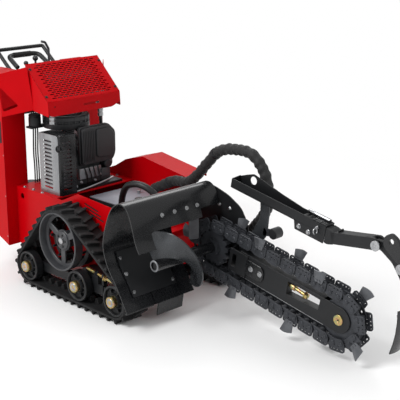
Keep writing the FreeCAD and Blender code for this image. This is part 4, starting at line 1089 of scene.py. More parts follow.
@dataclass
class DiggingChain(Assembly):
    """Digging chain round the bar: links, pins, cutters."""
    pitch: float = 45.6
    links: int = 50
    teeth: int = 15
    run: float = 17.5
    across: float = 60.0

    @property
    def radius(self) -> float:
        """Return the pitch radius at both ends."""
        return self.pitch / (2 * math.sin(math.pi / self.teeth))

    def pin(self, station: float) -> Vector:
        """Return the X and Z of a chain pin, counted in pitches from the top of the head."""
        s = station % self.links
        half, turn, reach = self.teeth / 2, 2 * math.pi / self.teeth, self.run * self.pitch
        if s < self.run:
            return Vector((s * self.pitch, self.radius))
        if s < self.run + half:
            a = (s - self.run) * turn
            return Vector((reach + self.radius * math.sin(a), self.radius * math.cos(a)))
        if s < 2 * self.run + half:
            return Vector((reach - (s - self.run - half) * self.pitch, -self.radius))
        a = (s - 2 * self.run - half) * turn
        return Vector((-self.radius * math.sin(a), -self.radius * math.cos(a)))

    def link(self, pin: int) -> Matrix:
        """Return the place of a link drawn about its middle, X along it and Z outwards."""
        a, b = self.pin(pin), self.pin(pin + 1)
        middle = (a + b) / 2
        turn = math.atan2(a.y - b.y, b.x - a.x)
        return place(middle.x, self.across, middle.y) @ Matrix.Rotation(turn, 4, "Y")

    def make(self) -> None:
        """Build the chain, then its cutters."""
        self.make_links()
        self.make_cutters()

    def side_plate(self) -> bpy.types.Mesh:
        """Cut an outer side plate: rounded shoulders inside, a drilled mounting edge outside."""
        outline = rounded([(-43, 0), (-43, 41), (43, 41), (43, 0), (30, -22), (-30, -22)], 16, 5)
        holes = [oblong(-34, -20, 27.5, 33.5, 2.8), oblong(-6, 1, 27, 34, 1.6), oblong(12, 19, 27, 34, 1.6),
            oblong(28, 34, 27.5, 33.5, 1.6), circle(-10, 11, 3.2, 10), circle(10, 11, 3.2, 10)]
        return plate(outline, 7.0, holes, edge=0.9)

    def make_links(self) -> None:
        """Place the outer plates, inner links, rollers and riveted pins."""
        steel = Coat.CHAIN_STEEL
        even = [self.link(k) for k in range(0, self.links, 2)]
        odd = [self.link(k + 1) for k in range(0, self.links, 2)]
        bench = self.bench()
        for y in (29.0, -29.0):
            bench.repeat(self.side_plate(), [m @ place(0, y, 0) @ STAND_XZ for m in even], steel,
                jitter=0.006)
        inner = plate(rounded([(-38, -13), (-38, 13), (-28, 19), (28, 19), (38, 13), (38, -13), (28, -19),
            (-28, -19)], 5, 3), 7.6, [circle(0, 0, 6, 12)], edge=1.0)
        for y in (21.0, -21.0):
            bench.repeat(inner, [m @ place(0, y, 0) @ STAND_XZ for m in odd], steel)
        roller = turned([(4, -17), (11.5, -17), (13, -15.5), (13, 15.5), (11.5, 17), (4, 17)], 16)
        rivet = turned([(0, -36.8), (8.5, -36.8), (11, -34.5), (11, -32.4), (6, -32.4), (6, 32.4), (11, 32.4),
            (11, 34.5), (8.5, 36.8), (0, 36.8)], 14)
        spots = [m @ place(x, 0, 0) @ STAND_XZ for m in even for x in (-self.pitch / 2, self.pitch / 2)]
        for part in (roller, rivet):
            bench.repeat(part, spots, steel)
        bench.weld("chain_links", "boom", "dark_steel", "digging_chain", crease=40)

    def cutter(self, lean: int) -> bpy.types.Mesh:
        """Forge a scoop cutter: a wing bolted on the link's side that flares up and out to a leading tip.

        Args:
            lean: Side that it flares to, 1 or -1.

        Returns:
            A closed mesh.
        """
        rows = []
        for i in range(9):
            t = i / 8
            rear, front = -21 - 10 * t, 20 + 18 * t
            row = []
            for k in range(9):
                u = k / 8
                bow = 9.0 * math.sin(math.pi * u) * (0.25 + 0.75 * t)
                row.append((rear + (front - rear) * u, lean * (34.0 + 7.0 * t ** 1.6 + bow),
                    20 + 63 * t - 12 * (1 - u) ** 2 * t))
            rows.append(row)
        return thick(skin(rows), 5.0)

    def make_cutters(self) -> None:
        """Bolt the cutters on alternate sides of the chain."""
        steel = Coat.CUTTER_STEEL
        bench = self.bench()
        pins = list(range(2, self.links, 4))
        for lean in (1, -1):
            seats = [self.link(p) for i, p in enumerate(pins) if (i % 2 == 0) == (lean == 1)]
            bench.repeat(self.cutter(lean), seats, steel, jitter=0.02)
            heads = [m @ place(x, lean * 38.5, 28) @ facing((0, lean, 0)) for m in seats for x in (-8, 8)]
            bench.repeat(bolt(11, 5), heads, steel)
        bench.weld("chain_cutters", "boom", "dark_steel", "cutter_teeth", crease=40)


def thick(sheet: bpy.types.Mesh, depth: float) -> bpy.types.Mesh:
    """Give an open sheet a wall.

    Args:
        sheet: Open mesh.
        depth: Wall thickness, centred on the sheet.

    Returns:
        A closed mesh.
    """
    holder = linked("holder", sheet)
    wall = holder.modifiers.new("wall", "SOLIDIFY")
    wall.thickness = depth
    wall.offset = 0.0
    wall.use_even_offset = True
    return settled(holder)


# ------------------------------------------------------------------ tower and cooler

class Perforator:
    """Geometry Nodes tree that punches staggered slots in a flat sheet."""

    def __init__(self) -> None:
        """Build the tree with inputs for its sizes."""
        self.tree = bpy.data.node_groups.new("punched_sheet", "GeometryNodeTree")
        face = self.tree.interface
        face.new_socket("Geometry", in_out="INPUT", socket_type="NodeSocketGeometry")
        face.new_socket("Geometry", in_out="OUTPUT", socket_type="NodeSocketGeometry")
        self.ids = {name: face.new_socket(name, in_out="INPUT", socket_type=kind).identifier for name,
            kind in (("Width", "NodeSocketFloat"), ("Height", "NodeSocketFloat"),
            ("Slot Length", "NodeSocketFloat"), ("Slot Height", "NodeSocketFloat"),
            ("Step Across", "NodeSocketFloat"), ("Step Down", "NodeSocketFloat"),
            ("Columns", "NodeSocketInt"), ("Rows", "NodeSocketInt"), ("Finish", "NodeSocketMaterial"))}
        self.wire()

    def maths(self, operation: str, a: Any, b: Any) -> bpy.types.NodeSocket:
        """Return the result of one arithmetic step."""
        return add_node(self.tree, "ShaderNodeMath", {0: a, 1: b}, operation=operation).outputs[0]

    def wire(self) -> None:
        """Lay out and link the nodes."""
        given = add_node(self.tree, "NodeGroupInput").outputs
        slot = add_node(self.tree, "GeometryNodeCurvePrimitiveQuadrilateral", {"Width": given["Slot Length"],
            "Height": given["Slot Height"]})
        ends = add_node(self.tree, "GeometryNodeFilletCurve", {"Curve": slot.outputs["Curve"], "Count": 3,
            "Radius": self.maths("MULTIPLY", given["Slot Height"], 0.49)}, mode="POLY")
        long = self.maths("MULTIPLY", self.maths("SUBTRACT", given["Columns"], 1.0), given["Step Across"])
        tall = self.maths("MULTIPLY", self.maths("SUBTRACT", given["Rows"], 1.0), given["Step Down"])
        grid = add_node(self.tree, "GeometryNodeMeshGrid", {"Size X": long, "Size Y": tall,
            "Vertices X": given["Columns"], "Vertices Y": given["Rows"]})
        where = add_node(self.tree, "GeometryNodeInputPosition")
        parts = add_node(self.tree, "ShaderNodeSeparateXYZ", {"Vector": where.outputs["Position"]})
        from_edge = self.maths("ADD", parts.outputs["Y"], self.maths("MULTIPLY", tall, 0.5))
        row = self.maths("ROUND", self.maths("DIVIDE", from_edge, given["Step Down"]), 0.0)
        odd = self.maths("MODULO", row, 2.0)
        shift = self.maths("MULTIPLY", self.maths("SUBTRACT", odd, 0.5),
            self.maths("MULTIPLY", given["Step Across"], 0.5))
        offset = add_node(self.tree, "ShaderNodeCombineXYZ", {"X": shift})
        moved = add_node(self.tree, "GeometryNodeSetPosition", {"Geometry": grid.outputs["Mesh"],
            "Offset": offset.outputs["Vector"]})
        slots = add_node(self.tree, "GeometryNodeInstanceOnPoints", {"Points": moved.outputs["Geometry"],
            "Instance": ends.outputs["Curve"]})
        real = add_node(self.tree, "GeometryNodeRealizeInstances", {"Geometry": slots.outputs["Instances"]})
        border = add_node(self.tree, "GeometryNodeCurvePrimitiveQuadrilateral",
            {"Width": given["Width"], "Height": given["Height"]})
        both = add_node(self.tree, "GeometryNodeJoinGeometry")
        self.tree.links.new(border.outputs["Curve"], both.inputs[0])
        self.tree.links.new(real.outputs["Geometry"], both.inputs[0])
        sheet = add_node(self.tree, "GeometryNodeFillCurve", {"Curve": both.outputs["Geometry"]})
        dressed = add_node(self.tree, "GeometryNodeSetMaterial", {"Geometry": sheet.outputs["Mesh"],
            "Material": given["Finish"]})
        add_node(self.tree, "NodeGroupOutput", {"Geometry": dressed.outputs["Geometry"]})

    def sheet(self, finish: Coat, thickness: float, **sizes: float) -> bpy.types.Mesh:
        """Punch one sheet.

        Args:
            finish: Its finish.
            thickness: Wall of the sheet.
            sizes: The tree's inputs, by name with underscores for spaces.

        Returns:
            A closed mesh in its own XY plane.
        """
        holder = linked("holder", bpy.data.meshes.new("blank"))
        modifier = holder.modifiers.new("punch", "NODES")
        modifier.node_group = self.tree
        modifier[self.ids["Finish"]] = finish.material()
        for name, value in sizes.items():
            modifier[self.ids[name.replace("_", " ")]] = value
        flat = settled(holder)
        flat.materials.clear()
        return thick(flat, thickness)


@dataclass
class Cooler(Assembly):
    """Sloped punched cover and the finned oil cooler under it."""
    top: Point2 = (-609.0, 1145.0)
    low: Point2 = (-420.0, 966.0)
    lip: Point2 = (-415.0, 887.0)
    rear: Point2 = (-551.0, 903.0)
    half: float = 245.0
    sheet: float = 3.0

    @property
    def slope(self) -> float:
        """Return the cover's slope in radians."""
        return math.atan2(self.top[1] - self.low[1], self.low[0] - self.top[0])

    def on_slope(self, along: float, y: float, above: float) -> Matrix:
        """Return a place whose local X follows +Y, local Y runs up the slope and Z stands off it."""
        a = self.slope
        down = Vector((math.cos(a), 0, -math.sin(a)))
        normal = Vector((math.sin(a), 0, math.cos(a)))
        spot = Vector((self.top[0], y, self.top[1])) + down * along + normal * above
        turn = Matrix.Identity(4)
        for i in range(3):
            turn[i][0], turn[i][1], turn[i][2] = (0, 1, 0)[i], -down[i], normal[i]
        return Matrix.Translation(spot) @ turn

    def make(self) -> None:
        """Build the cover, then the core."""
        self.make_cover()
        self.make_core()

    def make_cover(self) -> None:
        """Fold the punched cover with its flange, side plates and screws, and a seal under its top edge."""
        red = Coat.RED
        length = math.hypot(self.low[0] - self.top[0], self.low[1] - self.top[1])
        inner = 2 * (self.half - self.sheet)
        punched = Perforator().sheet(red, self.sheet, Width=inner - 40, Height=length - 8, Slot_Length=29.0,
            Slot_Height=6.6, Step_Across=36.0, Step_Down=13.0, Columns=11, Rows=18)
        bench = self.bench().put(punched, red, self.on_slope(length / 2, 0, -self.sheet / 2))
        for y in (-self.half + 12, self.half - 12):
            strip = plate(oblong(-12, 12, -length / 2, length / 2, 1.5), self.sheet, edge=0.8)
            bench.put(strip, red, self.on_slope(length / 2, y, -self.sheet / 2))
        for along in (2.6, length - 2.6):
            rim = plate(oblong(-inner / 2, inner / 2, -2.6, 2.6, 0.6), self.sheet, edge=0.6)
            bench.put(rim, red, self.on_slope(along, 0, -self.sheet / 2))
        seal = block((3, inner, 96), (self.top[0] + 6, 0, self.top[1] - 56), 1.0)
        bench.put(seal, Coat.SATIN)
        face = self.lip[1] - self.low[1]
        outline = rounded([(-inner / 2, 0), (inner / 2, 0), (inner / 2, face + 22), (inner / 2 - 60, face),
            (-inner / 2 + 20, face), (-inner / 2, face + 12)], 9)
        flange = plate(outline, self.sheet, [oblong(-10, 96, -46, -36, 4), circle(-200, -30, 4)], edge=0.8)
        lean = Matrix.Rotation(math.atan2(self.lip[0] - self.low[0], -face), 4, "Y")
        bench.put(flange, red, place(self.low[0] - 1.4, 0, self.low[1], lean.inverted() @ STAND_YZ))
        side = rounded([self.top, self.low, self.lip, self.rear], 8)
        for y in (-self.half + self.sheet / 2, self.half - self.sheet / 2):
            bench.stand(plate(side, self.sheet, edge=0.8), red, y)
        heads = [self.on_slope(a, y, 0) for a in (38, length - 34) for y in (-self.half + 13, self.half - 13)]
        bench.repeat(bolt(11, 5), heads, Coat.SATIN)
        bench.weld("cooler_hood", "chassis", "painted_red", "cooler_cover")

    def make_core(self) -> None:
        """Stack the cooler's flat tubes and fins, with its end tanks and elbows."""
        bench = self.bench()
        fin = block((1.0, 196, 30), edge=0)
        fins = [self.on_slope(130, -146 + 4.5 * k, -33) for k in range(69)]
        bench.repeat(fin, fins, Coat.FIN_STOCK)
        flat = block((315, 3.2, 33), edge=0.8)
        tubes = [self.on_slope(30 + 14.2 * k, 7.5, -33) for k in range(15)]
        bench.repeat(flat, tubes, Coat.ALUMINIUM)
        shroud = plate(oblong(-222, 222, -126, 112, 8), 2.5, edge=0.8)
        bench.put(shroud, Coat.SATIN, self.on_slope(130, 0, -54))
        for y in (-160, 175):
            bench.put(block((20, 204, 30), edge=4), Coat.SATIN, self.on_slope(130, y, -33))
        for y in (-205, 120):
            bench.put(bar([(-458, y, 925), (-444, y, 902), (-440, y, 880), (-440, y, 842)], 10.5),
                Coat.SILVER_ZINC)
            nut = turned([(0, -9), (14, -9), (15.5, -7), (15.5, 7), (14, 9), (0, 9)], 6)
            for spot, way in (((-440, y, 850), (0, 0, 1)), ((-440, y, 872), (0, 0, 1)),
                    ((-453, y, 917), (-0.5, 0, 0.85))):
                bench.put(nut, Coat.SILVER_ZINC, place(*spot, facing(way)))
        bench.weld("cooler_core", "chassis", "aluminium", "oil_cooler")


@dataclass
class Tower(Assembly):
    """Folded columns with the dark insert, the gussets, the control box, and the bars."""
    rear: float = -900.0
    front: float = -700.0
    top: float = 1095.0
    inner: float = 199.0
    outer: float = 345.0
    sheet: float = 3.0

    def make(self) -> None:
        """Build every piece of the tower."""
        self.make_columns()
        self.make_gussets()
        self.make_console()
        self.make_bars()

    def make_columns(self) -> None:
        """Fold both columns, open at the back, with rounded bends and rivnut screws."""
        red = Coat.RED
        for side in Side:
            s = side.value
            wide = self.outer - self.inner
            bench = self.bench()
            outline = [(self.front, 137), (self.front, self.top), (self.rear, self.top), (self.rear, 215)]
            window = oblong(-800, -715, 715, 838, 6)
            for y, holes in ((self.outer - self.sheet / 2, [window] if side == Side.RIGHT else []),
                    (self.inner + self.sheet / 2, [])):
                bench.stand(plate(rounded(outline, 5), self.sheet, holes, edge=0.7), red, s * y)
            face = plate(oblong(-wide / 2, wide / 2, 137, self.top, 4), self.sheet, edge=0.9)
            bench.put(face, red, place(self.front - self.sheet / 2, s * (self.inner + self.outer) / 2, 0,
                STAND_YZ))
            roof = block((self.front - self.rear - 1, wide - 1, self.sheet), ((self.front + self.rear) / 2,
                s * (self.inner + self.outer) / 2, self.top - 1.6), 0.9)
            bench.put(roof, red)
            if side == Side.RIGHT:
                tray = block((88, 20, 126), (-757.5, s * (self.outer - 14.2), 776.5), 3)
                bench.put(tray, Coat.PLASTIC)
                ribs = [place(-790 + 13 * k, s * (self.outer - 3.5), 776.5) for k in range(6)]
                bench.repeat(block((4, 3, 108), edge=0.8), ribs, Coat.PLASTIC)
            heads = [place(self.front - 8, s * self.outer, z, side.out()) for z in (190, 420, 650, 1040)]
            heads += [place(self.front - 0.2, s * (self.outer - 14), z, ALONG_X) for z in (480, 860)]
            bench.repeat(turned([(0, -3), (6, -3), (6, -0.4), (4, 0), (0, 0)], 14), heads, Coat.SILVER_ZINC)
            bench.weld(f"column_{side.word}", "chassis", "painted_red", f"tower_column_{side.word}")

    def make_gussets(self) -> None:
        """Cut both gussets with their rounded triangular hole, each trimmed to end under the cover."""
        bench = self.bench()
        for side in Side:
            s = side.value
            corner = {"low": Vector((-700, 345, 862)), "high": Vector((-700, 345, 1095)),
                "far_low": Vector((-555, 245, 906)), "far_high": Vector((-609, 245, 1145))}
            x_way = (corner["far_low"] - corner["low"]).normalized()
            up = (corner["high"] - corner["low"]).normalized()
            normal = x_way.cross(up).normalized()
            up = normal.cross(x_way)
            flat = {k: v - corner["low"] for k, v in corner.items()}
            fold = 20 if s < 0 else 2
            ring = [(flat[k].dot(x_way) + lap, flat[k].dot(up)) for k, lap in (("low", 0), ("far_low", 8),
                ("far_high", fold), ("high", 0))]
            drop = (14, 0) if s < 0 else (24, 84)
            ring[2], ring[3] = (ring[2][0], ring[2][1] - drop[0]), (ring[3][0], ring[3][1] - drop[1])
            hole = rounded([(18, 26), (112, 38), (26, 176)], 14, 5)
            mesh = plate(rounded(ring, 3), 3.0, [hole], edge=0.7)
            turn = Matrix.Identity(4)
            for i in range(3):
                turn[i][0], turn[i][1], turn[i][2] = x_way[i], up[i], normal[i]
            base = Matrix.Translation(corner["low"] - normal * 1.6) @ turn
            flip = Matrix.Scale(s, 4, (0, 1, 0)) if s < 0 else Matrix.Identity(4)
            bench.put(mesh, Coat.RED, flip @ base)
        bench.weld("gussets", "chassis", "painted_red", "cooler_gussets")

    def make_console(self) -> None:
        """Mould the control box with the rims of its gauge and switches, and its screws."""
        side = rounded([(-705, 855), (-705, 1040), (-790, 1058), (-897, 985), (-897, 855)], 14, 5)
        bench = self.bench().stand(plate(side, 395, edge=2.0), Coat.PLASTIC, 0)
        bench.put(block((190, 396, 6), (-800, 0, 193), 1.5), Coat.SATIN)
        deck = Vector((0.565, 0, -0.825))
        for y, radius in ((120, 26), (60, 16), (20, 16)):
            spot = (-849.6, y, 1017.8)
            rim = turned([(0, 0), (radius, 0), (radius, 3), (radius - 3, 4.5), (radius - 4, 2.4), (0, 2.4)],
                32)
            bench.put(rim, Coat.SILVER_ZINC, place(*spot, facing((-0.565, 0, 0.825))))
        heads = [place(-890 + 60 * k, y, 1000.5 + 41 * k - 10, facing(-deck)) for k in (0, 1) for y in (-180,
            180)]
        bench.repeat(bolt(8, 4), heads, Coat.SILVER_ZINC)
        bench.weld("console", "chassis", "black_plastic", "control_panel")

    def make_bars(self) -> None:
        """Bend the reference bar and the padded traction loop."""
        ref = [(-860, -155, 1061), (-905, -155, 1093), (-985, -155, 1158), (-1000, -155, 1170),
            (-1000, -130, 1170), (-1000, 130, 1170), (-1000, 155, 1170), (-985, 155, 1158), (-905, 155, 1093),
            (-860, 155, 1061)]
        bench = self.bench().put(bar(ref, 10.8), Coat.SATIN)
        for y in (-155, 155):
            bench.put(turned([(0, 0), (19, 0), (19, 4), (12, 9), (0, 9)], 24), Coat.SATIN,
                place(-866, y, 1061.5, facing((-0.7, 0, 0.6))))
        bench.weld("grab_bar", "chassis", "painted_black", "reference_bar")
        loop = [(-880, -105, 1082), (-930, -105, 1112), (-966, -100, 1130), (-985, -72, 1134),
            (-985, -40, 1134), (-985, 40, 1134), (-985, 72, 1134), (-966, 100, 1130), (-930, 105, 1112),
            (-880, 105, 1082)]
        grip = [(-985.0, y, 1134.0) for y in (-58, -30, 0, 30, 58)]
        bench = self.bench().put(bar(loop, 13.5), Coat.SATIN)
        bench.put(bar(grip, 16.0), Coat.FOAM)
        bench.weld("traction_loop", "traction_control", "painted_black", "traction_handle")


# ------------------------------------------------------------------ engine

@dataclass
class Engine(Assembly):
    """V-twin engine: slotted heat guard, blower, air cleaner, finned cylinders and fittings."""
    guard_x: tuple[float, float] = (-520.0, -345.0)
    guard_y: float = -240.0
    guard_z: tuple[float, float] = (470.0, 795.0)

    def make(self) -> None:
        """Build the engine's visible pieces."""
        self.make_guard()
        self.make_blower()
        self.make_cleaner()
        self.make_block()

    def make_guard(self) -> None:
        """Fold the heat guard: a pale slotted side, a dark slotted face, a lid and the exhaust outlet."""
        x0, x1 = self.guard_x
        z0, z1 = self.guard_z
        slots = [oblong(-484, -412, z, z + 9.5, 4.6) for z in (500 + 21 * k for k in range(13))]
        side = plate(rounded([(x0, z0), (x1 - 10, z0), (x1 - 10, z1 - 14), (x1 - 24, z1), (x0, z1)], 6), 2.4,
            slots, edge=0.6)
        bench = self.bench().stand(side, Coat.HEAT_SHEET, self.guard_y + 1.3)
        face_slots = [oblong(-215, -160, z, z + 9.5, 4.6) for z in (500 + 21 * k for k in range(13))]
        face = plate(rounded([(self.guard_y + 8, z0), (-130, z0), (-130, z1), (self.guard_y + 8, z1)], 5),
            2.4, face_slots, edge=0.6)
        bench.put(face, Coat.GLOSS, place(x1 - 1.3, 0, 0, STAND_YZ))
        fold = plate(oblong(-8.5, 8.5, z0, z1 - 8, 2), 2.4, edge=0.8)
        bench.put(fold, Coat.GLOSS, place(x1 - 7.5, self.guard_y + 6.5, 0, Matrix.Rotation(math.radians(-45),
            4, "Z") @ STAND_YZ))
        outlet = place(x1 - 7, self.guard_y + 7, 728, facing((1, -0.8, 0)))
        pipe = turned([(0, -6), (20, -6), (20, 7), (18.5, 8.5), (14.5, 8.5), (13, 7), (13, 0), (0, 0)], 32)
        bench.put(pipe, Coat.SATIN, outlet)
        # The matt black disc at the bottom of the outlet's bore is painted shade inside the pipe.
        bench.put(turned([(0, 0.2), (12.9, 0.2), (12.9, 0.8), (0, 0.8)], 24), Coat.RUBBER, outlet)
        lid = block((x1 - x0 - 6, 104, 2.4), ((x0 + x1) / 2, -186, z1 - 2), 0.9)
        bench.put(lid, Coat.GLOSS)
        bench.weld("heat_guard", "chassis", "grey_panel", "muffler_guard")

    def make_blower(self) -> None:
        """Mould the round blower shroud with its screen, and the oil filter beside it."""
        hub = place(-540, -40, 0)
        shroud = [(0, 796), (126, 796), (127.5, 800), (127.5, 826), (122, 830), (122, 838), (127.5, 842),
            (126, 860), (118, 866), (106, 868), (104, 862), (92, 862), (0, 862)]
        bench = self.bench().put(turned(shroud, 72), Coat.PLASTIC, hub)
        ribs = [hub @ Matrix.Rotation(math.radians(15 * k), 4, "Z") @ place(126, 0, 834) for k in range(24)]
        bench.repeat(block((4, 7, 50), edge=1.2), ribs, Coat.PLASTIC)
        for radius in (18, 34, 50, 66, 82):
            ring = turned([(radius - 3, 864), (radius + 3, 864), (radius + 3, 874), (radius - 3, 874)], 48)
            bench.put(ring, Coat.PLASTIC, hub)
        blades = [hub @ Matrix.Rotation(math.radians(30 * k), 4, "Z") @ place(46, 0, 869) for k in range(12)]
        bench.repeat(block((80, 4, 9), edge=0.8), blades, Coat.PLASTIC)
        can = [(0, 806), (30, 806), (33.5, 810), (33.5, 852), (31, 858), (33.5, 862), (30, 872), (0, 872)]
        bench.put(turned(can, 32), Coat.SATIN, place(-612, -196, 0))
        bench.put(block((50, 135, 10), (-615, -167.5, 801), 2), Coat.SATIN)
        bench.weld("blower", "chassis", "black_plastic", "blower_housing")

    def make_cleaner(self) -> None:
        """Mould the air cleaner box with its stepped cover and ribs."""
        bench = self.bench()
        rim = plate(rounded([(-78, 812), (120, 812), (164, 770), (164, 640), (140, 600), (-78, 600)], 18, 5),
            20, edge=3)
        bench.put(rim, Coat.PLASTIC, place(-388, 0, 0, STAND_YZ))
        cover = plate(rounded([(-72, 806), (116, 806), (158, 768), (158, 644), (136, 606), (-72, 606)], 20,
            5), 18, edge=4)
        bench.put(cover, Coat.PLASTIC, place(-369.5, 0, 0, STAND_YZ))
        raised = plate(rounded([(20, 792), (108, 792), (142, 760), (142, 668), (122, 630), (20, 640)], 16, 5),
            11, edge=3.5)
        bench.put(raised, Coat.PLASTIC, place(-356, 0, 0, STAND_YZ))
        ribs = [place(-359.5, -62 + 11 * k, 706) for k in range(7)]
        bench.repeat(block((3.5, 4, 168), edge=1.2), ribs, Coat.PLASTIC)
        bench.weld("air_box", "chassis", "black_plastic", "air_cleaner")

    def make_block(self) -> None:
        """Cast the crankcase and two finned cylinders, and fit the carburettor, rail and lines."""
        dark, pale = Coat.CASTING, Coat.ALUMINIUM
        bench = self.bench()
        bench.put(block((300, 320, 14), (-510, 40, 477), 2), Coat.SATIN)
        case = rounded([(-640, 484), (-400, 484), (-400, 640), (-470, 690), (-600, 690), (-640, 640)], 16, 4)
        bench.stand(plate(case, 246, edge=5), dark, 25)
        fin = plate(rounded([(-66, -50), (66, -50), (66, 50), (-66, 50)], 16), 3.0, edge=0.8)
        barrel = turned([(0, 60), (46, 60), (46, 176), (0, 176)], 28)
        cover = block((108, 92, 26), edge=9)
        for tilt in (-1, 1):
            base = place(-535, 20, 590, spin_y(tilt * 30))
            bench.put(barrel, dark, base)
            fins = [base @ place(0, 0, 76 + 9 * k) @ QUARTER_TURN for k in range(11)]
            bench.repeat(fin, fins, pale)
            bench.put(cover, pale, base @ place(0, 0, 184) @ QUARTER_TURN)
        bench.put(block((34, 150, 60), (-382, -20, 560), 8), pale)
        bench.put(block((30, 60, 44), (-372, 80, 548), 6), dark)
        bench.put(turned([(0, 0), (24, 0), (24, 34), (20, 40), (0, 40)], 28), Coat.PLASTIC,
            place(-395, 100, 590, ALONG_X))
        for k, y in enumerate((-60, -30, 0, 30)):
            bench.put(bar([(-365, y, 590), (-356, y + 8, 560 - 8 * k), (-362, y + 18, 520),
                (-372, y + 26, 492)], 3.2), Coat.HOSE)
        rail = [(-352, -150, 474), (-352, -60, 482), (-352, 60, 498), (-356, 130, 510)]
        bench.put(bar(rail, 5.0), Coat.SILVER_ZINC)
        for y, z in ((-118, 500), (-84, 516), (12, 512), (46, 540), (108, 532)):
            bench.put(bolt(11, 7), Coat.SILVER_ZINC, place(-366, y, z, ALONG_X))
        for y in (60, 84, 118, 132):
            bench.put(turned([(0, 0), (9, 0), (9, 8), (6, 10), (6, 22), (0, 22)], 6), Coat.SILVER_ZINC,
                place(-385, y, 640 - (y % 7) * 4, facing((0.8, 0.3, 0.4))))
        bench.weld("engine_core", "chassis", "aluminium", "engine_block")


# ------------------------------------------------------------------ shield and auger

@dataclass
class Shield(Assembly):
    """The shield's wear plate and bolts, its rubber flap and the chain's guard plate."""
    head: Point2 = (505.0, 333.0)
    bearing: float = 57.0

    def make(self) -> None:
        """Build the shield and what hangs on it."""
        self.make_bolts()
        self.make_wear_plate()
        self.make_flap()
        self.make_guard()

    def make_guard(self) -> None:
        """Cut the guard plate behind the chain, with its bearing hole and a stiffening rib."""
        outline = rounded([(300, 300), (302, 470), (330, 582), (374, 622), (436, 616), (530, 588), (616, 540),
            (664, 462), (666, 400), (650, 300), (560, 210), (430, 190)], 26, 5)
        bench = self.bench().stand(plate(outline, 6, [circle(*self.head, self.bearing, 40)], 1.2), Coat.SATIN,
            125)
        bench.stand(plate(rounded([(352, 520), (380, 596), (440, 590), (560, 548), (620, 470)], 18), 4,
            edge=1.2), Coat.GLOSS, 128.5)
        ring = turned([(self.bearing, 118), (66, 118), (66, 132), (self.bearing, 132)], 48)
        bench.put(ring, Coat.SATIN, place(self.head[0], 0, self.head[1], ALONG_Y))
        bench.weld("chain_guard_plate", "chassis", "painted_black", "chain_guard")

    def make_bolts(self) -> None:
        """Fit the shield's, wear plate's and deck's hex bolts."""
        wear = Vector((0.81, 0, 0.59))
        spots = [place(x, y, z, facing(wear)) for x, z in ((300, 330), (345, 262), (398, 184)) for y in (-384,
            -134)]
        lip = Vector((0.93, 0, 0.36))
        spots += [place(478.5, y, 560, facing(lip)) for y in (-270, -190, -110, -40)]
        spots += [place(x, y, 470, Matrix.Identity(4)) for x in (-640, -560, -480) for y in (-262, 262)]
        spots += [place(x, 122, z, facing((0, -1, 0))) for x, z in ((578, 385), (436, 395), (470, 530),
            (540, 520))]
        bench = self.bench().repeat(bolt(14, 6.5), spots, Coat.SILVER_ZINC)
        bench.weld("hex_bolts", "chassis", "zinc", "machine_bolts")

    def make_wear_plate(self) -> None:
        """Roll the wear plate that lies inside the shield, behind the auger."""
        line = [(282, 362), (288, 340), (312, 291), (354, 237), (392, 180), (404, 160)]
        rows = [[(x + 6.5, y, z + 1.5) for y in (-398, -330, -260, -190, -120)] for x, z in line]
        bench = self.bench().put(thick(skin(rows), 5.0), Coat.SATIN)
        bench.weld("wear_plate", "chassis", "painted_black")

    def make_flap(self) -> None:
        """Cut the rubber flap with rounded corners."""
        flap = rounded([(-290, 541), (-290, 508), (-92, 508), (-92, 395), (-26, 384), (-26, 541)], 12, 4)
        bench = self.bench().put(plate(flap, 5.2, edge=0.8), Coat.FLAP_RUBBER, place(473, 0, 0, STAND_YZ))
        bench.weld("rubber_flap", "chassis", "flap_rubber", "shield_flap")


@dataclass
class Auger(Assembly):
    """Spoil auger with its rolled flight, and the tube end left open."""
    head: Point2 = (505.0, 333.0)
    start: float = -350.0
    pitch: float = 406.0
    turn: float = 225.0
    radius: float = 160.0

    def make(self) -> None:
        """Roll the flight and weld it on the tube."""
        tube = turned([(20.1, 0), (28, 0), (28, 379), (20.1, 379)], 40)
        bench = self.bench().put(tube, Coat.GLOSS, place(self.head[0], self.start, self.head[1], ALONG_Y))
        lip = turned([(20.1, -0.5), (27, -0.5), (28.3, 0.5), (28.3, 3), (20.1, 3)], 40)
        bench.put(lip, Coat.ALUMINIUM, place(self.head[0], self.start, self.head[1], ALONG_Y))
        steps = 72
        rows = []
        for i in range(steps + 1):
            t = i / steps
            a = math.radians(self.turn) * t
            y = self.start + 9 + self.pitch * self.turn / 360 * t
            ease = 1 - 0.5 * max(0.0, 1 - t / 0.12) ** 2
            row = []
            for k in range(10):
                r = 26 + (self.radius * ease - 26) * k / 9
                turn = self.start_angle() - a
                row.append((self.head[0] + r * math.cos(turn), y, self.head[1] + r * math.sin(turn)))
            rows.append(row)
        bench.put(thick(skin(rows), 8.0), Coat.FLIGHT_STEEL)
        bench.weld("auger_flight", "head_drive", "painted_black", "auger")

    def start_angle(self) -> float:
        """Return the angle at which the flight begins, in radians."""
        return math.radians(125)


# ------------------------------------------------------------------ hoses

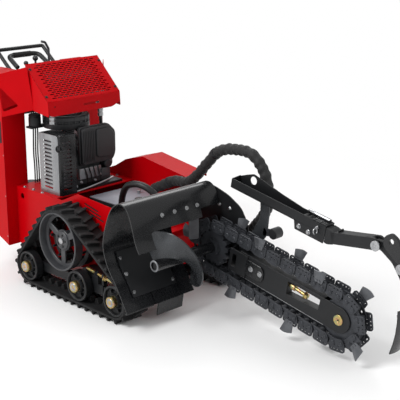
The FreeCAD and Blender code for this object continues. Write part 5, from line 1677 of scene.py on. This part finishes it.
@dataclass
class HoseRun:
    """One hose or cable laid on a smooth line through its guide points."""
    name: str
    points: Sequence[Point3]
    radius: float
    finish: Coat
    slot: str

    def line(self, layouts: Layouts) -> list[Vector]:
        """Return points read from the route's smooth line, in the row frame."""
        data = bpy.data.curves.new(self.name, "CURVE")
        data.dimensions = "3D"
        spline = data.splines.new("NURBS")
        spline.points.add(len(self.points) - 1)
        for point, co in zip(spline.points, self.points):
            point.co = (*(layouts.machine @ Vector(co)), 1)
        spline.order_u = 3
        spline.use_endpoint_u = True
        spline.resolution_u = 12
        holder = bpy.data.objects.new("holder", data)
        mesh = bpy.data.meshes.new_from_object(holder)
        path = [v.co.copy() for v in mesh.vertices]
        bpy.data.objects.remove(holder)
        bpy.data.curves.remove(data)
        bpy.data.meshes.remove(mesh)
        return path

    def tube(self, layouts: Layouts) -> tuple[bpy.types.Object, list[Vector], float]:
        """Draw a plain round tube.

        Args:
            layouts: Layouts in use.

        Returns:
            The tube, the points that it follows and its length.
        """
        path = self.line(layouts)
        rows = ring_rows(path, [self.radius / 1000] * len(path), 14)
        mesh = skin(rows, round_cols=True)
        mesh.name = self.name
        for face in mesh.polygons:
            face.use_smooth = True
        mesh.set_sharp_from_angle(angle=math.radians(50))
        mesh.materials.append(self.finish.material())
        piece = linked(self.name, mesh)
        return piece, path, sum((b - a).length for a, b in zip(path, path[1:]))


def ring_rows(path: Sequence[Vector], radii: Sequence[float], sides: int) -> list[list[Point3]]:
    """Put a ring of points round every point of a line, without twist.

    Args:
        path: The line.
        radii: Radius at each point.
        sides: Points in each ring.

    Returns:
        The rings.
    """
    rows = []
    across = Vector((0.0, 1.0, 0.0))
    for i, spot in enumerate(path):
        ahead = (path[min(i + 1, len(path) - 1)] - path[max(i - 1, 0)]).normalized()
        across = (across - ahead * across.dot(ahead)).normalized()
        up = ahead.cross(across)
        rows.append([tuple(spot + (across * math.cos(2 * math.pi * k / sides) + up
            * math.sin(2 * math.pi * k / sides)) * radii[i]) for k in range(sides)])
    return rows


@dataclass
class Hoses(Assembly):
    """The sleeved bundle over the shield, the return hose, the cooler hose and the control cables."""
    sleeve: Sequence[Point3] = ((-122, 222, 469), (-20, 228, 520), (40, 232, 548), (150, 225, 548),
        (300, 210, 690), (380, 205, 775), (500, 202, 802), (620, 200, 802), (700, 200, 720), (725, 200, 620),
        (700, 215, 520), (610, 255, 430), (549, 283, 382))
    sleeve_radius: float = 30.0

    def make(self) -> None:
        """Lay every hose."""
        self.make_sleeve()
        self.make_lines()

    def make_sleeve(self) -> None:
        """Draw the braided sleeve with its bunched folds and its strap."""
        run = HoseRun("hose_bundle", self.sleeve, self.sleeve_radius, Coat.SLEEVE, "sleeve_fabric")
        path = run.line(self.layouts)
        fine: list[Vector] = []
        for a, b in zip(path, path[1:]):
            count = max(1, int((b - a).length / 0.0035))
            fine += [a.lerp(b, k / count) for k in range(count)]
        fine.append(path[-1])
        length = sum((b - a).length for a, b in zip(path, path[1:]))
        sides = 28
        radii = [self.sleeve_radius / 1000 * 0.9] * len(fine)
        rows = ring_rows(fine, radii, sides)
        gone = 0.0
        shaped = []
        for i, row in enumerate(rows):
            gone += (fine[i] - fine[i - 1]).length if i else 0.0
            middle = fine[i]
            ring = []
            for k, point in enumerate(row):
                out = (Vector(point) - middle)
                wave = noise.noise(Vector((gone * 34, k * 0.32 * math.cos(k), 3.0)))
                fold = math.sin(gone * 2 * math.pi / 0.042 + 2.6 * noise.noise(middle * 11) + 0.9
                    * math.sin(2 * math.pi * k / sides))
                ends = min(1.0, gone / 0.03, (length - gone) / 0.03)
                ring.append(tuple(middle + out * (1 + max(0.0, ends) * (0.07 * fold + 0.11 * wave))))
            shaped.append(ring)
        mesh = skin(shaped, round_cols=True)
        mesh.name = run.name
        chart = mesh.uv_layers.new(name="along")
        step = length / (len(shaped) - 1)
        for loop in mesh.loops:
            row, col = divmod(loop.vertex_index, sides)
            chart.data[loop.index].uv = (row * step, col * 2 * math.pi * 0.03 / sides)
        for face in mesh.polygons:
            face.use_smooth = True
        mesh.materials.append(Coat.SLEEVE.material())
        piece = linked(run.name, mesh)
        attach(piece, "chassis")
        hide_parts("hose_sleeve")
        tuple(fine[0])
        [tuple(p) for p in path]
        LOG.info("%s: %.3f m", run.name, length)
        strap = self.bench()
        for i in (int(len(fine) * 0.1), int(len(fine) * 0.42), int(len(fine) * 0.83)):
            way = (fine[i + 1] - fine[i - 1]).normalized()
            band = turned([(28.5, -9), (30.2, -8), (30.2, 8), (28.5, 9), (24, 9), (24, -9)], 32)
            spot = self.layouts.machine.inverted() @ fine[i]
            strap.put(band, Coat.PLASTIC, place(*spot, facing(way)))
        strap.weld("sleeve_bands", "chassis", "black_plastic")

    def make_lines(self) -> None:
        """Lay the return hose, the cooler hose and the three control cables."""
        runs = [HoseRun("return_hose", ((-40, -84, 412), (-20, -98, 560), (120, -100, 615), (215, -60, 560),
            (240, -30, 490)), 17, Coat.HOSE, "hose_rubber"), HoseRun("cooler_hose",
            ((-440, 120, 842), (-440, 120, 795), (-452, 138, 750), (-470, 160, 706)), 9, Coat.HOSE,
            "hose_rubber")]
        for step in range(3):
            y, top = -170 + 14 * step, 850 - 20 * step
            runs.append(HoseRun(f"control_cable_{step + 1}", ((-700, y, 900), (-672, y, 880),
                (-664, y, top - 60), (-676, y, 640), (-668, y, 560), (-672, y, 472)), 4, Coat.HOSE,
                "hose_rubber"))
        for run in runs:
            piece, path, length = run.tube(self.layouts)
            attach(piece, "chassis")
            tuple(path[0])
            [tuple(p) for p in path]
            LOG.info("%s: %.3f m", run.name, length)
        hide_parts("hoses_and_cables")


# ------------------------------------------------------------------ boom, crumber and lift

@dataclass
class Boom(Assembly):
    """Digging bar, its arm, the bar bolts, the tension screw and the nose roller."""
    middle: float = 60.0
    half_width: float = 22.0
    half_height: float = 62.0
    length: float = 798.0
    window: Sequence[Point2] = ((490, -20), (490, 46), (682, 44), (680, -8), (497, -20))

    def make(self) -> None:
        """Build the boom's pieces."""
        self.make_bar()
        self.make_arm()
        self.make_fasteners()
        self.make_nose()

    def make_bar(self) -> None:
        """Cut the bar with its round nose and window, and rub its lower edge bright."""
        h, reach = self.half_height, self.length
        nose = [(reach + h * math.sin(a), -h * math.cos(a)) for a in (math.pi * k / 20 for k in range(21))]
        outline = [(182, h), (182, -h), *nose]
        window = rounded(self.window, 3, 2)
        bolts = [circle(x, 5, 8, 16) for x in (266, 324)]
        bench = self.bench()
        cheek = plate(outline, 6.0, [window, *bolts, circle(reach, 0, 12, 20)], edge=1.0)
        for y in (self.middle - self.half_width + 3, self.middle + self.half_width - 3):
            bench.stand(cheek, Coat.SATIN, y)
        core = [(182, h), (182, -h), (reach - 100, -h), (reach - 100, h)]
        bench.stand(plate(core, 32.2, [window, *bolts], edge=0.3), Coat.SATIN, self.middle)
        wear = block((reach - 280, 2 * self.half_width + 1, 2.4), ((reach + 130) / 2, self.middle, -h - 0.6),
            0.6)
        bench.put(wear, Coat.SILVER_ZINC)
        bench.weld("digging_bar", "boom", "painted_black", "boom_bar")

    def make_arm(self) -> None:
        """Weld the arm: bearing hub, side plate, bar socket with tongues, and the lift lever."""
        y = self.middle
        side = rounded([(-54, -54), (-54, 54), (60, 66), (236, 60), (236, -60), (60, -60)], 20)
        bench = self.bench().stand(plate(side, 12, [circle(0, 0, 21, 32)], 1.2), Coat.SATIN, y + 46)
        hub = turned([(21, 41), (54, 41), (54, 84), (52, 86), (21, 86)], 44)
        bench.put(hub, Coat.SATIN, place(0, y, 0, ALONG_Y))
        cheek = plate([(124, -58), (124, 58), (236, 58), (236, -58)], 7.4, [oblong(140, 168, -32, 32, 3)],
            1.0)
        for where in (y - 26, y + 26):
            bench.stand(cheek, Coat.SATIN, where)
        for x, wide in ((128, 8), (174, 10)):
            bench.put(block((wide, 46, 114), (x, y, 0), 1.2), Coat.SATIN)
        bench.put(block((112, 12, 114), (180, y + 35, 0), 1.0), Coat.SATIN)
        tongue = rounded([(230, -38), (230, 44), (330, 40), (346, 20), (346, -20), (330, -36)], 12)
        for where in (y - 26.2, y + 26.2):
            bench.stand(plate(tongue, 7.2, [circle(x, 5, 8, 16) for x in (266, 324)], 1.2), Coat.GLOSS, where)
        lever = rounded([(-50, 10), (-93.5, 117), (-75.5, 143), (-47.5, 125), (44, 26), (10, -10)], 10)
        bench.stand(plate(lever, 12, [circle(-71.5, 121, 10, 20)], 1.2), Coat.SATIN, y + 80)
        bench.weld("arm", "boom", "painted_black", "boom_arm")

    def make_fasteners(self) -> None:
        """Fit the bar bolts, the tension screw with its spring sleeve, and the nose axle washers."""
        y = self.middle
        bench = self.bench()
        for x in (266, 324):
            bench.put(turned([(0, -30), (7.6, -30), (7.6, 30), (0, 30)], 20), Coat.SILVER_ZINC,
                place(x, y, 5, ALONG_Y))
            for out in (-1, 1):
                spot = place(x, y + out * 29.9, 5, facing((0, out, 0)))
                bench.put(turned([(0, 0), (13.5, 0), (14, 0.6), (14, 1.8), (0, 1.8)], 28), Coat.SILVER_ZINC,
                    spot)
                bench.put(bolt(19, 5), Coat.SILVER_ZINC, spot @ place(0, 0, 1.6))
        screw = place(491.5, y, 22, facing((1, 0, -0.092)))
        bench.put(turned([(0, 0), (8, 0), (8, 108), (7, 109), (0, 109)], 24), Coat.ZINC, screw)
        turns = [screw @ place(0, 0, 38 + 5 * k) for k in range(14)]
        thread = turned([(7, 0), (9.2, 1.2), (9.2, 2.2), (7, 3.4)], 20)
        bench.repeat(thread, turns, Coat.ZINC)
        bench.put(turned([(8, 8), (14, 8), (14.5, 9), (14.5, 32), (14, 33), (8, 33)], 28), Coat.ZINC, screw)
        bench.put(bolt(26, 16), Coat.ZINC, screw @ place(0, 0, 92))
        for out in (-1, 1):
            spot = place(self.length, y + out * 21.9, 0, facing((0, out, 0)))
            bench.put(turned([(0, 0), (24, 0), (25, 1), (25, 3.8), (24, 4.8), (9, 4.8), (7, 3.4), (0, 3.4)],
                44), Coat.ZINC, spot)
            bench.put(turned([(0, 3), (4.5, 3), (4.5, 5.2), (0, 5.2)], 6), Coat.SATIN, spot)
        bench.put(turned([(0, -22), (11.8, -22), (11.8, 22), (0, 22)], 24), Coat.CHAIN_STEEL,
            place(self.length, y, 0, ALONG_Y))
        bench.weld("boom_hardware", "boom", "zinc", "chain_tensioner")

    def make_nose(self) -> None:
        """Turn the nose roller with its crowned tread."""
        tread = [(12.2, -14.8), (94, -14.8), (96, -13), (96, 13), (94, 14.8), (12.2, 14.8)]
        bench = self.bench().put(turned(tread, 64), Coat.CHAIN_STEEL, place(self.length, self.middle, 0,
            ALONG_Y))
        bench.weld("nose_wheel_disc", "nose_wheel", "dark_steel", "nose_roller")


@dataclass
class Crumber(Assembly):
    """Crumber over the boom: folded channel, sliding tube with its lock pin, curved arm and shoe."""
    middle: float = 60.0
    half: float = 30.0
    rise: float = 17.6
    pivot: Point2 = (902.0, 421.0)

    def make(self) -> None:
        """Build the crumber's pieces."""
        self.make_channel()
        self.make_tube()
        self.make_pin()
        self.make_shoe()

    def make_channel(self) -> None:
        """Fold the channel with its slotted floor, raised fin, end box, bracket and roller."""
        y0, y1 = self.middle - self.half, self.middle + self.half
        black = Coat.SATIN
        bench = self.bench()
        web = plate(rounded([(62, 352), (62, 392), (70, 398), (640, 398), (640, 312), (474, 312), (462, 352)],
            4, 2), 5, [circle(600, 376, 8.4, 16)], 1.0)
        bench.stand(web, black, y0 + 2.5)
        fin = rounded([(62, 352), (64, 400), (110, 424), (146, 440), (176, 436), (330, 412), (408, 404),
            (460, 398), (640, 398), (640, 312), (474, 312), (462, 352)], 8, 3)
        bench.stand(plate(fin, 5, [circle(150, 408, 20, 28), circle(600, 376, 8.4, 16)], 1.0), black,
            y1 - 2.5)
        slots = [oblong(x, x + 40, y0 + 12, y0 + 22, 4.5) for x in (120, 190, 260, 330)]
        bench.put(plate(oblong(62, 640, y0, y1, 2), 5, slots, 0.8), black, place(0, 0, 354.5))
        end = plate(rounded([(y0, 352), (y0, 398), (y1, 404), (y1, 352)], 5, 3), 5, edge=1.0)
        bench.put(end, black, place(64.5, 0, 0, STAND_YZ))
        bench.put(block((80, 2 * self.half, 6), (600, self.middle, 397), 1.2), black)
        for x in (540, 572, 604, 628):
            bench.put(block((6, 2 * self.half + 1, 2.6), (x, self.middle, 400.2), 0.8), black)
        upright = rounded([(118, 60), (206, 60), (262, 160), (252, 300), (226, 352), (178, 352), (206, 240),
            (176, 150)], 18, 5)
        bench.stand(plate(upright, 8, edge=1.4), Coat.FLIGHT_STEEL, self.middle + 56)
        bench.stand(plate(rounded([(236, 152), (306, 172), (306, 204), (236, 194)], 8, 3), 8, edge=1.2),
            Coat.CHAIN_STEEL, self.middle + 56)
        bench.put(turned([(0, 30.5), (13.5, 30.5), (13.5, 60), (0, 60)], 24), black,
            place(205, self.middle, 338, ALONG_Y))
        roller = turned([(0, 44), (24, 44), (27, 47), (27, 93), (24, 96), (12, 96), (10, 92), (0, 92)], 40)
        bench.put(roller, Coat.PLASTIC, place(300, self.middle, 188, ALONG_Y))
        for x, z in ((496, 335), (552, 330)):
            spot = place(x, y0, z, facing((0, -1, 0)))
            bench.put(turned([(0, 0), (11, 0), (11.5, 0.5), (11.5, 1.6), (0, 1.6)], 24), Coat.SILVER_ZINC,
                spot)
            bench.put(bolt(15, 6.5), Coat.SILVER_ZINC, spot @ place(0, 0, 1.4))
        bench.put(turned([(0, 0), (8, 0), (8.2, 1), (8.2, 119), (8, 120), (0, 120)], 24), Coat.CHROME,
            place(505, y1 - 16, 408, ALONG_X))
        for x in (508, 622):
            bench.put(block((9, 22, 14), (x, y1 - 16, 404), 1.5), black)
        bench.weld("crumber_frame", "boom", "painted_black", "crumber_channel")

    def make_tube(self) -> None:
        """Weld the sliding tube: square inner, gusseted elbow and the long arm with its fork."""
        y0, y1 = self.middle - self.half + 6, self.middle + self.half - 6
        black = Coat.SATIN
        slope = place(660, 0, 345, spin_y(-self.rise))
        bench = self.bench()
        for y in (y0 + 2.2, y1 - 2.2):
            side = plate(oblong(500, 662, 360, 392, 2), 4.4, [oblong(531, 608.4, 367.6, 384.4, 8)], 0.8)
            bench.stand(side, black, y)
        for z in (362.2, 389.8):
            bench.put(block((162, y1 - y0, 4.4), (581, self.middle, z), 0.8), black)
        elbow = rounded([(641, 318), (641, 392), (662, 392), (692, 386), (692, 330), (662, 318)], 6, 3)
        bench.stand(plate(elbow, y1 - y0 + 10, edge=2.0), black, self.middle)
        arm = plate(oblong(16, 232, -22, 32, 5), y1 - y0 + 10, edge=2.2)
        bench.put(arm, black, slope @ place(0, self.middle, 0) @ STAND_XZ)
        for y in (y0 + 1.6, y1 - 1.6):
            fork = plate(rounded([(190, -22), (190, 32), (250, 32), (264, 18), (264, -12), (250, -22)], 9, 4),
                12.8, edge=1.6)
            bench.put(fork, black, slope @ place(0, y, 0) @ STAND_XZ)
        bench.put(block((6, 34, 18), (700, self.middle, 392), 1.4), black)
        bench.weld("sliding_tube", "crumber_arm", "painted_black", "crumber_tube")

    def make_pin(self) -> None:
        """Turn the lock pin and hang its split ring."""
        y0 = self.middle - self.half
        shank = [(0, -44), (5.8, -44), (6.4, -41), (7.6, -40), (7.6, 34), (6, 37.5), (0, 37.5)]
        bench = self.bench().put(turned(shank, 24), Coat.SILVER_ZINC, place(600, self.middle, 376, ALONG_Y))
        ring = skin([[(13 * math.cos(a) + 3 * math.cos(b) * math.cos(a), 13 * math.sin(a) + 3 * math.cos(b)
            * math.sin(a), 3 * math.sin(b)) for b in (2 * math.pi * k / 10 for k in range(10))]
            for a in (2 * math.pi * k / 28 for k in range(28))], True, True)
        bench.put(ring, Coat.SILVER_ZINC, place(600, y0 - 17, 360, facing((1, 0, 0.3))))
        bench.weld("pull_pin", "lock_pin", "zinc", "crumber_pin")

    def make_shoe(self) -> None:
        """Cut the curved arm and its rib, roll the shoe and fit the large washers."""
        y, black = self.middle, Coat.SATIN
        arm = rounded([(880, 440), (925, 445), (1000, 400), (1062, 335), (1104, 240), (1112, 150),
            (1096, 150), (1082, 236), (1040, 318), (985, 372), (918, 402), (884, 404)], 14, 4)
        bench = self.bench().stand(plate(arm, 20, edge=2.0), black, y)
        rib = rounded([(932, 436), (930, 478), (960, 505), (1000, 490), (1030, 440), (1040, 385),
            (1000, 395)], 14, 4)
        bench.stand(plate(rib, 15.5, [circle(968, 468, 12, 20)], edge=1.6), Coat.GLOSS, y - 18)
        line = [(1090, 200), (1100, 150), (1105, 95), (1104, 45), (1098, -5)]
        rows = []
        for i in range(17):
            t = i / 4
            k = min(int(t), 3)
            u = t - k
            x = line[k][0] * (1 - u) + line[k + 1][0] * u
            z = line[k][1] * (1 - u) + line[k + 1][1] * u
            rows.append([(x - 5 * (v / 6 - 1) ** 2, y + 44 * (v / 6 - 1), z) for v in range(13)])
        bench.put(thick(skin(rows), 6.0), Coat.GLOSS)
        bench.stand(plate(rounded([(1060, 160), (1106, 158), (1104, 60)], 6, 3), 8, edge=1.0), black, y)
        for x, z, reach in ((*self.pivot, 35.8), (1042, 373, 31.8)):
            ends = (-1, 1) if reach > 33 else (-1,)
            bench.put(turned([(0, -reach + 2), (10, -reach + 2), (10, reach - 2 if reach > 33 else -8),
                (0, reach - 2 if reach > 33 else -8)], 24), Coat.SILVER_ZINC, place(x, y, z, ALONG_Y))
            for out in ends:
                washer = turned([(0, 0), (22, 0), (23, 1), (23, 5), (22, 6), (12, 6), (11, 4.6), (6, 4.6),
                    (5, 6), (0, 6)], 44)
                bench.put(washer, Coat.SILVER_ZINC, place(x, y + out * (reach - 6), z, facing((0, out, 0))))
        bench.weld("curved_shoe", "shoe", "painted_black", "crumber_shoe")


@dataclass
class Lift(Assembly):
    """Boom lift cylinder with its chromed rod."""
    base: Point3 = (150.0, 176.0, 392.0)
    eye: Point2 = (-71.5, 121.0)

    def make(self) -> None:
        """Turn the barrel with its gland and ports, and the rod with its eye."""
        start = Vector(self.base)
        tip = self.layouts.machine.inverted() @ self.layouts.boom @ Vector((self.eye[0], 60, self.eye[1]))
        tip.y = start.y
        way = (tip - start).normalized()
        reach = (tip - start).length
        line = place(*start, facing(way))
        barrel = [(0, 34), (24.5, 34), (26, 35.5), (26, 200), (27.5, 202), (27.5, 228), (26, 231),
            (13.2, 231), (13.2, 43), (0, 43)]
        ring = [(10.2, -14), (24, -14), (25, -13), (25, 13), (24, 14), (10.2, 14)]
        bench = self.bench().put(turned(barrel, 40), Coat.SATIN, line)
        bench.put(turned([(0, 16), (11, 16), (11, 40), (0, 40)], 24), Coat.SATIN, line)
        bench.put(turned(ring, 36), Coat.SATIN, place(*start, ALONG_Y))
        for z in (56, 190):
            bench.put(turned([(0, 0), (9, 0), (9, 10), (7, 12), (7, 20), (0, 20)], 16), Coat.SILVER_ZINC,
                line @ place(0, 0, z) @ Matrix.Rotation(-math.pi / 2, 4, "Y") @ place(0, 0, 24))
        bench.weld("lift_barrel_tube", "lift_barrel", "painted_black", "lift_cylinder")
        rod = self.bench().put(turned([(0, 109), (12.6, 109), (13, 110), (13, reach - 18), (0, reach - 18)],
            36), Coat.CHROME, line)
        flat = [(10, -28.4), (21, -28.4), (22, -27), (22, 13), (21, 14), (10, 14)]
        rod.put(turned(flat, 36), Coat.SATIN, place(*tip, ALONG_Y))
        rod.weld("lift_rod_eye", "lift_piston", "bright_steel", "lift_rod")


# ------------------------------------------------------------------ deck, tanks and track tension

@dataclass
class Deck(Assembly):
    """Slotted side panel, hydraulic tank with its cap, fuel tank and the track tension rods."""
    half: float = 275.0
    track: float = 358.5

    def make(self) -> None:
        """Build the deck's pieces."""
        self.make_panel()
        self.make_tank()
        self.make_fuel()
        self.make_tension()

    def make_panel(self) -> None:
        """Punch the side panel's three slanted slots, with a thin dark sheet behind them as painted shade."""
        outline = rounded([(-290, 385), (-290, 470), (-152, 534), (120, 517), (150, 440), (150, 366),
            (58, 372)], 8)
        slots = []
        for x, z in ((-95, 500), (-75, 478), (-55, 456)):
            slots.append(rounded([(x, z), (x + 110, z - 22), (x + 108, z - 31), (x - 2, z - 9)], 4, 3))
        bench = self.bench().stand(plate(outline, 3.0, slots, 0.7), Coat.RED, -self.half - 2.2)
        # The thin black sheet behind the slots is painted shade for the dark inside seen through them.
        bench.stand(plate(rounded([(-130, 412), (-130, 512), (80, 500), (80, 412)], 5), 0.7, edge=0.1),
            Coat.PLASTIC, -self.half - 0.4)
        heads = [place(x, -self.half - 3.6, z, facing((0, -1, 0))) for x, z in ((-262, 452), (118, 500),
            (128, 392))]
        bench.repeat(bolt(11, 5), heads, Coat.SILVER_ZINC)
        bench.weld("slotted_panel", "chassis", "painted_red", "side_panel_right")

    def make_tank(self) -> None:
        """Fold the oil tank with a raised lid, its filler neck and cap, and a breather."""
        bench = self.bench().put(block((394, 299, 284), (-137.5, 90, 293), 7), Coat.SATIN)
        bench.put(block((390, 295, 5), (-137.5, 90, 437.4), 2), Coat.GREY)
        neck = [(0, 436), (22, 436), (22, 448), (26, 449), (26, 458), (22, 462), (0, 462)]
        bench.put(turned(neck, 28), Coat.PLASTIC, place(-60, 60, 0))
        bench.put(turned([(0, 438), (9, 438), (9, 450), (12, 452), (12, 458), (0, 460)], 18),
            Coat.SILVER_ZINC, place(-190, 170, 0))
        bench.weld("oil_tank", "chassis", "grey_panel", "hydraulic_tank")

    def make_fuel(self) -> None:
        """Mould the fuel tank with its parting line and a ribbed cap."""
        outline = rounded([(-890, -185), (-712, -185), (-712, 185), (-890, 185)], 28, 6)
        bench = self.bench()
        for middle, tall in ((252.0, 111.0), (363.0, 109.0)):
            bench.put(plate(outline, tall, edge=7), Coat.PLASTIC, place(0, 0, middle))
        band = [(x * 0.998 - 1.6, y * 0.998) for x, y in outline]
        bench.put(plate(band, 7, edge=1.5), Coat.PLASTIC, place(0, 0, 308))
        bench.put(turned([(0, 417), (36, 417), (36, 440), (32, 444), (0, 444)], 36), Coat.PLASTIC,
            place(-800, -110, 0))
        ribs = [place(-800, -110, 430) @ Matrix.Rotation(math.pi / 9 * k, 4, "Z") @ place(36, 0,
            0) for k in range(18)]
        bench.repeat(block((3.5, 5, 22), edge=1), ribs, Coat.PLASTIC)
        bench.weld("fuel_cell", "chassis", "black_plastic", "fuel_tank")

    def make_tension(self) -> None:
        """Fit the yellow-plated tension rods with their nuts, collars and lugs."""
        bench = self.bench()
        for out in (-1, 1):
            y = out * self.track
            base = Vector((10.0, y, 198.0))
            way = (Vector((250.0, y, 168.0)) - base).normalized()
            line = place(*base, facing(way))
            bench.put(turned([(0, 0), (7.5, 0), (8.5, 1), (8.5, 238), (7.5, 239), (0, 239)], 20), Coat.ZINC,
                line)
            turns = [line @ place(0, 0, 4 + 6 * k) for k in range(22)]
            bench.repeat(turned([(8, 0), (10, 1.4), (10, 2.6), (8, 4)], 16), turns, Coat.ZINC)
            for reach, finish in ((78, Coat.SATIN), (146, Coat.ZINC), (214, Coat.ZINC)):
                bench.put(bolt(25, 14), finish, line @ place(0, 0, reach))
            bench.put(block((14, 26, 60), (147, y, 172), 2), Coat.SATIN)
            bench.put(block((14, 22, 46), (254, y, 158), 2), Coat.SATIN)
        bench.weld("tension_rods", "chassis", "zinc", "track_tensioners")


# ------------------------------------------------------------------ finishes of the CAD's own nodes

CAD_NODES: dict[Coat, str] = {
    Coat.RED: "chassis_frame side_panel_right side_cover_left tower_column_right tower_column_left "
              "cooler_gussets cooler_cover",
    Coat.PLASTIC: "control_panel fuel_tank blower_housing air_cleaner trencher_lever throttle_lever",
    Coat.FIN_STOCK: "oil_cooler",
    Coat.SATIN: "reference_bar track_frame_right track_frame_left drive_sprocket_right "
                "drive_sprocket_left chain_guard head_shaft lift_cylinder",
    Coat.CASTING: "engine_block drive_motors trencher_motor",
    Coat.ALUMINIUM: "muffler hydraulic_pump",
    Coat.HEAT_SHEET: "muffler_guard",
    Coat.GREY: "hydraulic_tank",
    Coat.HOSE: "hoses_and_cables",
    Coat.RUBBER: "track_belt_right track_belt_left",
    Coat.ZINC: "track_tensioners chain_tensioner",
    Coat.GLOSS: "auger_shield shield_skid auger boom_arm crumber_channel crumber_tube crumber_shoe",
    Coat.FLAP_RUBBER: "shield_flap",
    Coat.SILVER_ZINC: "machine_bolts crumber_pin",
    Coat.CHAIN_STEEL: "head_sprocket boom_bar nose_roller digging_chain",
    Coat.CUTTER_STEEL: "cutter_teeth",
    Coat.CHROME: "lift_rod key_switch",
    Coat.SLEEVE: "hose_sleeve",
    Coat.FOAM: "traction_handle",
    Coat.GREY_STEEL: "boom_lever",
}


def dress_cad(frame: dict[str, Any]) -> None:
    """Give every CAD node the finish of its real part.
    """
    finishes = {name: finish for finish, names in CAD_NODES.items() for name in names.split()}
    for name, node in frame["nodes"].items():
        finish = finishes.get(name, Coat.SATIN)
        node.data.materials.clear()
        node.data.materials.append(finish.material())


def main() -> None:
    """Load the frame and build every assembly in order."""
    logging.basicConfig(level=logging.INFO, format="%(message)s")
    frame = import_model()
    Assembly.layouts = Layouts()
    Studio().build(Assembly.layouts)
    Assembly.copier = Copier()
    dress_cad(frame)
    for assembly in (Hoses(), Track(Side.RIGHT), Track(Side.LEFT), DiggingChain(), Cooler(), Tower(),
            Engine(), Shield(), Auger(), Boom(), Crumber(), Lift(), Deck()):
        assembly.make()


if __name__ == "__main__":
    main()
